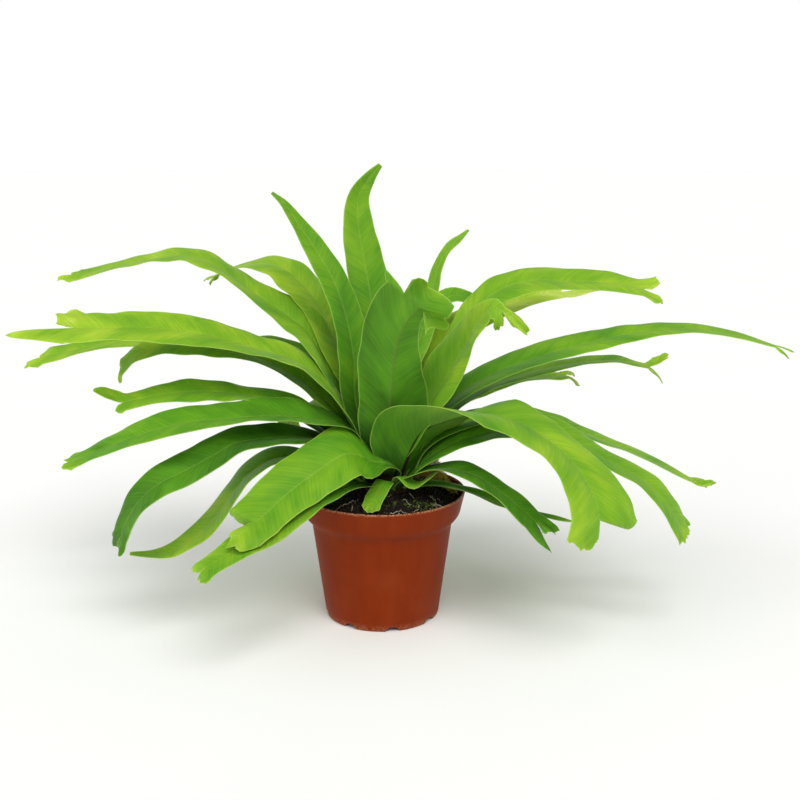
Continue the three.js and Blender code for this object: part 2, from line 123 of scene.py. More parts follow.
def barrel_faces(rows, sides):
    """Faces of a turned shape: the quads between its rows, then a cap on its first and last."""
    caps = [list(range(sides))[::-1], list(range((rows - 1) * sides, rows * sides))]
    return grid_faces(rows, sides, closed=True).tolist() + caps


def placed(name, data):
    """A new object with this data, linked into the scene."""
    thing = bpy.data.objects.new(name, data)
    bpy.context.scene.collection.objects.link(thing)
    return thing


def new_piece(name, points, faces, material, sharp=0.6):
    """A smooth mesh of points in millimetres, with an edge where faces turn by over `sharp`."""
    mesh = bpy.data.meshes.new(name)
    mesh.from_pydata((np.reshape(points, (-1, 3)) * 0.001).tolist(), [], faces)
    mesh.shade_smooth()
    mesh.set_sharp_from_angle(angle=sharp)
    mesh.materials.append(material)
    return placed(name, mesh)


def linear(hex_colour):
    """sRGB hex to linear light: ((c + 0.055) / 1.055)^2.4, or c / 12.92 below 0.04045."""
    c = np.array([int(hex_colour[i : i + 2], 16) for i in (1, 3, 5)]) / 255
    light = np.where(c < 0.04045, c / 12.92, ((c + 0.055) / 1.055) ** 2.4)
    return (*light.tolist(), 1.0)


def set_inputs(node, inputs):
    """Each input is linked to a node's output, or set to a value or hex colour."""
    for place, value in inputs.items():
        if isinstance(value, bpy.types.NodeSocket):
            node.id_data.links.new(value, node.inputs[place])
        else:
            node.inputs[place].default_value = linear(value) if isinstance(value, str) else value


def new_material(name, **settings):
    """A material, its tree, its Principled BSDF set to `settings`, and the object coordinates."""
    material = bpy.data.materials.new(name)
    material.use_nodes = True
    tree = material.node_tree
    shader = tree.nodes["Principled BSDF"]
    set_inputs(shader, {socket.replace("_", " "): value for socket, value in settings.items()})
    return material, tree, shader, tree.nodes.new("ShaderNodeTexCoord").outputs["Object"]


def add(tree, kind, inputs, **settings):
    """The output of a new shader node.

    Of a Mix node, input 0 is the share of colour 7 over colour 6. Of a MapRange node, it is the
    value, which goes from the range 1 to 2 into the range 3 to 4, or 0 to 1 where they are unset.
    """
    node = tree.nodes.new("ShaderNode" + kind)
    if kind == "Mix":
        node.data_type = "RGBA"
    for name, value in settings.items():
        setattr(node, name, value)
    set_inputs(node, inputs)
    return node.outputs[2] if kind == "Mix" else node.outputs[0]


# Moulded polypropylene, coloured in the mass: satin, with faint flow streaks down the wall, dust
# and scuffs, and soil dried on the last 2 mm of the rim and the lowest 6 mm of the wall. A noise's
# scale counts its grains in a metre, so the dust of 900 has grains of about 1 mm.
polypropylene, tree, shader, place = new_material(
    "MouldedPolypropylene", IOR=1.49, Specular_IOR_Level=0.08
)
streaked = add(tree, "Mapping", {"Vector": place, "Scale": (90, 90, 14)})
streaks = add(tree, "TexNoise", {"Vector": streaked, "Scale": 1.0, "Detail": 4.0})
clouds = add(tree, "TexNoise", {"Vector": place, "Scale": 38.0, "Detail": 3.0})
specks = add(tree, "TexNoise", {"Vector": place, "Scale": 900.0})
height = add(tree, "SeparateXYZ", {0: place}).node.outputs["Z"]
colour = add(tree, "Mix", {0: streaks, 6: "#702203", 7: "#842F06"})
dull = add(tree, "MapRange", {0: clouds, 1: 0.5, 2: 0.75, 4: 0.16})
colour = add(tree, "Mix", {0: dull, 6: colour, 7: "#94502A"})
near_rim = add(tree, "MapRange", {0: height, 1: 0.0912, 2: 0.0928, 4: 0.75})
near_base = add(tree, "MapRange", {0: height, 1: 0.006, 2: 0.0, 4: 0.45})
edges = add(tree, "Math", {0: near_rim, 1: near_base}, operation="MAXIMUM")
patchy = add(tree, "MapRange", {0: specks, 1: 0.42, 2: 0.6})
dried = add(tree, "Math", {0: edges, 1: patchy}, operation="MULTIPLY")
colour = add(tree, "Mix", {0: dried, 6: colour, 7: "#B98E6A"})
rough = add(tree, "MapRange", {0: clouds, 1: 0.3, 2: 0.7, 3: 0.38, 4: 0.52})
relief = add(tree, "Bump", {"Height": specks, "Strength": 0.12, "Distance": 0.0003})
set_inputs(shader, {"Base Color": colour, "Roughness": rough, "Normal": relief})

section = rounded_path(POT_CORNERS)
pot_points = turned(section, POT_SIDES)
radius = section[:, :1]
round_angle = TAU * np.arange(POT_SIDES) / POT_SIDES
# Each arch is half an ellipse, sqrt(1 - (d / half width)^2) of its height at the distance d from
# its middle, and fades out up the wall and at the inner end of its channel.
arch_angles = TAU * (np.arange(ARCHES) + 0.25) / ARCHES
turn_off = np.abs((round_angle[:, None] - arch_angles + np.pi) % TAU - np.pi).min(axis=1)
arch = np.sqrt(np.clip(1 - (turn_off * radius / ARCH_HALF_WIDTH) ** 2, 0, 1))
arch *= np.clip((radius - ARCH_START) / 2, 0, 1) * np.clip(1 - section[:, 1:] / ARCH_FADE, 0, 1)
pot_points[..., 2] += ARCH_HEIGHT * arch
pot = new_piece("PotShell", pot_points, barrel_faces(len(section), POT_SIDES), polypropylene)

# The drain holes are cut by upright rods through the floor.
rod_angles = TAU * (np.arange(DRAINS) + 0.5) / DRAINS
rod = turned(np.array([[DRAIN_RADIUS, -2.0], [DRAIN_RADIUS, 4.0]]), DRAIN_SIDES)
centres = DRAIN_CIRCLE * np.stack([np.cos(rod_angles), np.sin(rod_angles), 0 * rod_angles], 1)
rod_points = rod[None] + centres[:, None, None]
rod_faces = [
    [2 * DRAIN_SIDES * i + k for k in face]
    for i in range(DRAINS)
    for face in barrel_faces(2, DRAIN_SIDES)
]
rods = new_piece("DrainRods", rod_points, rod_faces, polypropylene)
cut = pot.modifiers.new("drain", "BOOLEAN")
cut.operation, cut.object, cut.solver = "DIFFERENCE", rods, "EXACT"
bpy.context.view_layer.update()
drained = pot.evaluated_get(bpy.context.evaluated_depsgraph_get())
drained = bpy.data.meshes.new_from_object(drained)
pot.modifiers.clear()
pot.data = drained
bpy.data.objects.remove(rods)
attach(pot, "root")
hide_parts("pot")

# ----------------------------------------
# Soil: damp peat pressed into the pot by hand, a little mounded, with crumbs loose on top, pale
# root fibres that came up with it, and moss where it has stood wet.

SOIL_EDGE_HEIGHT = 88
SOIL_MOUND_HEIGHT = 97
SOIL_SPREAD = 54  # radius where the mound ends
SOIL_GAP = 0.05  # between the mound's edge and the pot's wall
SOIL_DISC = 0.4  # radius of the flat discs that close its middle, below and on top
# Its side, inside the pot's wall: radius and height.
SOIL_SIDE = np.array([[SOIL_DISC, 2], [38.5, 2], [48.6, WAIST_HEIGHT], [54.2, COLLAR_HEIGHT]])
SOIL_RINGS = 100
SOIL_SIDES = 300
CRUMBS = 3600
FIBRES = 44
FIBRE_STEPS = 16
TUFT_BLADES = 12
MOSS_LENGTH = 1.7
SOIL_SEED = 7

dice = np.random.default_rng(SOIL_SEED)


def waves(x, y, size, seed, count=24):
    """An even random relief of one scale: the mean of sin(k . p + phase) over random directions."""
    drawn = np.random.default_rng(seed)
    heading = drawn.uniform(0, TAU, count)
    pace = TAU / (size * drawn.uniform(0.7, 1.4, count))
    phase = drawn.uniform(0, TAU, count)
    along = x[..., None] * np.cos(heading) + y[..., None] * np.sin(heading)
    return np.sin(along * pace + phase).sum(axis=-1) / np.sqrt(count)


def soil_height(x, y):
    """The mound, edge + (top - edge)(1 - (r / spread)^2), with relief of 12, 5 and 2.2 mm scale."""
    share = np.minimum(1, np.hypot(x, y) / SOIL_SPREAD)
    mound = SOIL_MOUND_HEIGHT - (SOIL_MOUND_HEIGHT - SOIL_EDGE_HEIGHT) * share**2
    rough = 0.9 * waves(x, y, 12, 1) + 1.0 * np.abs(waves(x, y, 5, 2)) + 0.5 * waves(x, y, 2.2, 3)
    return mound + rough - 0.8


# Peat: almost black when damp, browner where a crumb has dried, with tan flecks of bark.
peat, tree, shader, place = new_material("DampPeat", Roughness=0.9, Specular_IOR_Level=0.25)
grain = add(tree, "TexNoise", {"Vector": place, "Scale": 420.0, "Detail": 6.0})
patches = add(tree, "TexNoise", {"Vector": place, "Scale": 60.0})
flecks = add(tree, "TexVoronoi", {"Vector": place, "Scale": 520.0})
colour = add(tree, "Mix", {0: grain, 6: "#070504", 7: "#241A12"})
dry = add(tree, "MapRange", {0: patches, 1: 0.55, 2: 0.75, 4: 0.35})
colour = add(tree, "Mix", {0: dry, 6: colour, 7: "#382818"})
bark = add(tree, "MapRange", {0: flecks, 1: 0.2, 2: 0.1, 4: 0.7})
colour = add(tree, "Mix", {0: bark, 6: colour, 7: "#8A7048"})
relief = add(tree, "Bump", {"Height": grain, "Strength": 0.8, "Distance": 0.001})
set_inputs(shader, {"Base Color": colour, "Normal": relief})

soil_radius = np.interp(
    SOIL_EDGE_HEIGHT, [COLLAR_HEIGHT, POT_HEIGHT], [COLLAR_RADIUS, RIM_RADIUS]
)
soil_radius = soil_radius - POT_WALL - SOIL_GAP
ring_radius = np.append(soil_radius * np.linspace(1, 0, SOIL_RINGS)[:-1], SOIL_DISC)
top = turned(np.stack([ring_radius, 0 * ring_radius], 1), SOIL_SIDES)
top[..., 2] = soil_height(top[..., 0], top[..., 1])
soil_points = np.concatenate([turned(SOIL_SIDE, SOIL_SIDES), top])
soil_faces = barrel_faces(len(soil_points), SOIL_SIDES)
soil = new_piece("SoilFill", soil_points, soil_faces, peat, sharp=1.2)
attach(soil, "root")
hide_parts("soil")


def turns(count):
    """Random rotations: the Q of the QR split of a normal random 3 x 3 matrix, by its sign."""
    turned_frame = np.linalg.qr(dice.normal(size=(count, 3, 3)))[0]
    return turned_frame * np.linalg.det(turned_frame)[:, None, None]


def scattered(shape, faces, places, sizes, rotations):
    """Copies of one small shape, each turned, scaled by its own size or sizes, and put in place."""
    turned_shape = np.einsum("nij,nkj->nki", rotations, shape[None] * sizes[:, None, :])
    points = (turned_shape + places[:, None]).reshape(-1, 3)
    step = len(shape) * np.arange(len(places))[:, None, None]
    return points, (faces[None] + step).reshape(-1, faces.shape[1]).tolist()


# A crumb starts as the solid of twenty equal triangles, with its corners 1 from its middle.
GOLD = (1 + 5**0.5) / 2
LUMP = np.array([[0, a, b * GOLD] for a in (-1, 1) for b in (-1, 1)])
LUMP = np.vstack([LUMP, np.roll(LUMP, 1, axis=1), np.roll(LUMP, 2, axis=1)]) / np.hypot(1, GOLD)
trios = np.array(list(itertools.combinations(range(12), 3)))
spans = np.linalg.norm(LUMP[trios] - LUMP[np.roll(trios, 1, axis=1)], axis=2)
trios = trios[(spans < 1.2).all(axis=1)]
outward = np.linalg.det(LUMP[trios])[:, None] > 0
LUMP_FACES = np.where(outward, trios, trios[:, ::-1])

crumb_radius = soil_radius * np.sqrt(dice.uniform(0.02, 0.97, CRUMBS))
crumb_angle = dice.uniform(0, TAU, CRUMBS)
crumb_x, crumb_y = crumb_radius * np.cos(crumb_angle), crumb_radius * np.sin(crumb_angle)
crumb_size = 0.4 + 1.1 * dice.random(CRUMBS) ** 3
crumb_place = np.stack([crumb_x, crumb_y, soil_height(crumb_x, crumb_y) + 0.3 * crumb_size], 1)
uneven = crumb_size[:, None] * dice.uniform(0.6, 1.3, (CRUMBS, 3))
points, faces = scattered(LUMP, LUMP_FACES, crumb_place, uneven, turns(CRUMBS))
crumbs = new_piece("SoilCrumbs", points, faces, peat, sharp=0.2)
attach(crumbs, "root")


def grained(name, scale, dark, light, detail=2.0, **settings):
    """A material whose colour runs from `dark` to `light` with one noise."""
    material, tree, shader, place = new_material(name, **settings)
    grain = add(tree, "TexNoise", {"Vector": place, "Scale": scale, "Detail": detail})
    set_inputs(shader, {"Base Color": add(tree, "Mix", {0: grain, 6: dark, 7: light})})
    return material


def tubes(paths, radii, sides=5):
    """A thin tube round each path: P + r (cos a, sin a) in the plane across its direction."""
    ahead = np.gradient(paths, axis=1)
    ahead /= np.linalg.norm(ahead, axis=2, keepdims=True)
    side = np.cross(ahead, [0.03, 0.02, 1.0])
    side /= np.linalg.norm(side, axis=2, keepdims=True)
    up = np.cross(side, ahead)
    angle = (TAU * np.arange(sides) / sides)[:, None]
    ring = np.cos(angle) * side[:, :, None] + np.sin(angle) * up[:, :, None]
    points = paths[:, :, None] + radii[:, :, None, None] * ring
    steps = paths.shape[1]
    one = grid_faces(steps, sides, closed=True)
    faces = (one[None] + steps * sides * np.arange(len(paths))[:, None, None]).reshape(-1, 4)
    ends = sides * steps * np.arange(len(paths))[:, None]
    first = ends + np.arange(sides)[::-1]
    last = ends + sides * (steps - 1) + np.arange(sides)
    return points.reshape(-1, 3), faces.tolist() + first.tolist() + last.tolist()


# Root fibre: pale, dry and matt, about 0.3 mm thick and drawn a little thicker, so that it shows.
fibre = grained("DryRootFibre", 160.0, "#8C7452", "#F0E6D0", Roughness=0.8)

start_angle = dice.uniform(0, TAU, FIBRES)
start = soil_radius * np.sqrt(dice.uniform(0.12, 0.8, FIBRES))
heading = dice.uniform(0, TAU, FIBRES)[:, None]
bend = np.cumsum(dice.normal(0, 0.28, (FIBRES, FIBRE_STEPS)), axis=1)
stride = dice.uniform(0.7, 1.7, FIBRES)[:, None]
fibre_x = (start * np.cos(start_angle))[:, None] + np.cumsum(stride * np.cos(heading + bend), 1)
fibre_y = (start * np.sin(start_angle))[:, None] + np.cumsum(stride * np.sin(heading + bend), 1)
outside = np.maximum(1, np.hypot(fibre_x, fibre_y) / (soil_radius - 1))
fibre_x, fibre_y = fibre_x / outside, fibre_y / outside
hump = np.sin(np.linspace(0, np.pi, FIBRE_STEPS)) * dice.uniform(0.2, 2.2, FIBRES)[:, None]
fibre_z = soil_height(fibre_x, fibre_y) + 0.3 + hump
thin = 0.19 * (1 - 0.6 * np.linspace(0, 1, FIBRE_STEPS)) * dice.uniform(0.8, 1.4, FIBRES)[:, None]
points, faces = tubes(np.stack([fibre_x, fibre_y, fibre_z], 2), thin)
fibres = new_piece("RootFibres", points, faces, fibre, sharp=1.4)
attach(fibres, "root")


# A small pointed blade, closed, one long and a third of that wide: foot, left, middle, right, tip
# and back.
BLADELET = np.array(
    [[0, 0, 0], [-0.16, 0.05, 0.5], [0, -0.03, 0.55], [0.16, 0.05, 0.5], [0, 0, 1], [0, 0.12, 0.5]]
)
BLADELET_FACES = np.array(
    [[0, 2, 1], [0, 3, 2], [1, 2, 4], [2, 3, 4], [0, 1, 5], [0, 5, 3], [1, 4, 5], [5, 4, 3]]
)


def leaning(lean, spin):
    """Rotations that lean a blade's own +Z by `lean` from upright, towards the azimuth `spin`."""
    tip = np.stack([np.sin(lean) * np.cos(spin), np.sin(lean) * np.sin(spin), np.cos(lean)], 1)
    side = np.stack([-np.sin(spin), np.cos(spin), 0 * spin], 1)
    return np.stack([side, np.cross(tip, side), tip], axis=2)


def moss_tufts(middle, spread, count, heap):
    """Tufts of small blades on the soil, on a heap of height h exp(-(distance / spread)^2)."""
    tuft = np.array(middle) + dice.normal(0, 0.7, (count, 2)) * spread
    foot = np.repeat(tuft, TUFT_BLADES, axis=0) + dice.normal(0, 0.5, (count * TUFT_BLADES, 2))
    reach = np.maximum(1, np.hypot(*foot.T) / (soil_radius - 1))[:, None]
    foot = foot / reach
    pile = heap * np.exp(-(((foot - middle) / spread) ** 2).sum(axis=1))
    pile = pile * dice.uniform(0.1, 1, len(foot)) ** 0.5
    ground = soil_height(foot[:, 0], foot[:, 1]) + pile
    lean = dice.uniform(0, 1.1 + 0.08 * heap, len(foot))
    spin = dice.uniform(0, TAU, len(foot))
    tall = MOSS_LENGTH * dice.uniform(0.6, 1.3, len(foot))
    place = np.stack([foot[:, 0], foot[:, 1], ground - 0.1], 1)
    return scattered(BLADELET, BLADELET_FACES, place, tall[:, None], leaning(lean, spin))


# Moss: small soft leaves, fresh green where it is wet, straw and brown where it has dried. A heap
# of the dry moss stands against the rim at the back right. Its colours are lighter than the straw's
# own, as painted light on the heap in the shade of the fronds. Each spot has its middle, its
# spread, its number of tufts and the height of its heap.
for name, tones, spots in (
    ("WetMoss", ("#2F4A14", "#6F8C30"), [((30, -33), (8, 5), 34, 0), ((8, -38), (12, 5), 14, 0)]),
    ("DryMoss", ("#8F7626", "#E8CF68"), [((37, 22), (9, 6), 400, 22), ((50, 6), (3, 6), 60, 4)]),
):
    moss = grained(name, 500.0, *tones, Roughness=0.85, Specular_IOR_Level=0.2)
    for i, spot in enumerate(spots):
        points, faces = moss_tufts(*spot)
        tufts = new_piece(f"{name}{i + 1}", points, faces, moss, sharp=0.5)
        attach(tufts, "root")

# ----------------------------------------
# Crown: the short upright rhizome, grown together with old roots into a fibrous dark dome, half
# sunk in the soil. Papery brown scales stand round the foot of every frond.

CROWN_MIDDLE = np.array([4, -5, 90])
CROWN_RADIUS = 18
CROWN_HEIGHT = 20
DOME_ROWS = 48
DOME_SIDES = 96
SCALES = 420
SCALE_LENGTHS = (2, 5)


def crown_point(rise, turn, proud=0.0):
    """A point of the dome: middle + ((R + p) cos rise cos turn, ... sin turn, (H + p) sin rise)."""
    flat = (CROWN_RADIUS + proud) * np.cos(rise)
    tall = (CROWN_HEIGHT + proud) * np.sin(rise)
    return CROWN_MIDDLE + np.stack([flat * np.cos(turn), flat * np.sin(turn), tall + 0 * turn], -1)


# Rhizome: matted root felt, dark brown to black.
rhizome, tree, shader, place = new_material(
    "FibrousRhizome", Roughness=0.9, Specular_IOR_Level=0.3
)
drawn_out = add(tree, "Mapping", {"Vector": place, "Scale": (600, 600, 160)})
felt = add(tree, "TexNoise", {"Vector": drawn_out, "Scale": 1.0, "Detail": 5.0})
colour = add(tree, "Mix", {0: felt, 6: "#120C08", 7: "#4A3422"})
relief = add(tree, "Bump", {"Height": felt, "Strength": 0.9, "Distance": 0.001})
set_inputs(shader, {"Base Color": colour, "Normal": relief})

rise = np.linspace(-0.35, np.pi / 2 - 0.02, DOME_ROWS)[:, None]
turn = np.linspace(0, TAU, DOME_SIDES, endpoint=False)[None]
lumpy = 0.5 * waves(20 * turn + 0 * rise, 20 * rise + 0 * turn, 9, 4)
dome = crown_point(rise, turn, proud=lumpy)
crown = new_piece("RhizomeDome", dome, barrel_faces(DOME_ROWS, DOME_SIDES), rhizome, sharp=1.2)
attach(crown, "root")
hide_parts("crown")

# Scales: thin papery brown blades, narrow and pointed, curling outwards from the dome.
papery = grained(
    "PaperyScale", 300.0, "#1E130B", "#5E4126", detail=3.0, Roughness=0.6, Subsurface_Weight=0.15
)

rise = dice.uniform(0.3, 1.45, SCALES)
turn = dice.uniform(0, TAU, SCALES)
root = crown_point(rise, turn, proud=-0.4)
lean = dice.uniform(0.1, 0.9, SCALES)
size = dice.uniform(*SCALE_LENGTHS, (SCALES, 1))
points, faces = scattered(BLADELET, BLADELET_FACES, root, size, leaning(lean, turn))
scales = new_piece("RhizomeScales", points, faces, papery, sharp=0.8)
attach(scales, "root")

# ----------------------------------------
# Fronds: undivided straps of living leaf, each grown from the crown, with a midrib that stands
# proud underneath, waved margins and, on most, a tip that forks into a ruffled, toothed crest.

# Each frond has [ring, azimuth] of its root on the crown, then the course of its midrib: places
# along it from root to tip. Azimuth 0 is +X and 90 is away from the viewer. At even steps along
# the frond, `fold` lifts both margins by that many degrees and `roll` lifts the right-hand one,
# seen from the root. `foot` is the blade's width at the root, `widest` the share of the length
# where it is widest and `neck` its share of the width at the crest. `outline` gives [share of the
# length, share of the width] where the shape needs it, `left` a factor on the left-hand half at
# even steps, `waves` one on the waves of the margins, and `facing` the azimuth the upper face leans
# towards before it is rolled. `crest` holds the lobes of the tip from left to right: their [first,
# last] directions off the midrib in degrees, their length and, for some, their own curl and how
# pointed they are. No crest is a plain point. `ruffle` tilts the lobes up and down in turn,
# `frill` strengthens their waves and `teeth` deepens their notches. `tone` makes a frond yellower
# than the others, or deeper green below 0; on some fronds it is raised as painted light, to lighten
# them in the shade of the fronds above. `crest_painted_light` lightens the crest alone, as painted
# light.
# What a frond doesn't say for itself is plain. The hidden ones at the back share fold and crest.
PLAIN = dict(
    tone=0, foot=8, widest=0.5, neck=0.7, left=[1], fold=[20, 15, 15], roll=[0], waves=1,
    crest=[], curl=15, pointed=0.3, ruffle=12, frill=1, teeth=0.13, crest_painted_light=0,
)
BACK = dict(fold=[30, 30, 15], crest=[[-25, -5, 18], [5, 25, 18]])
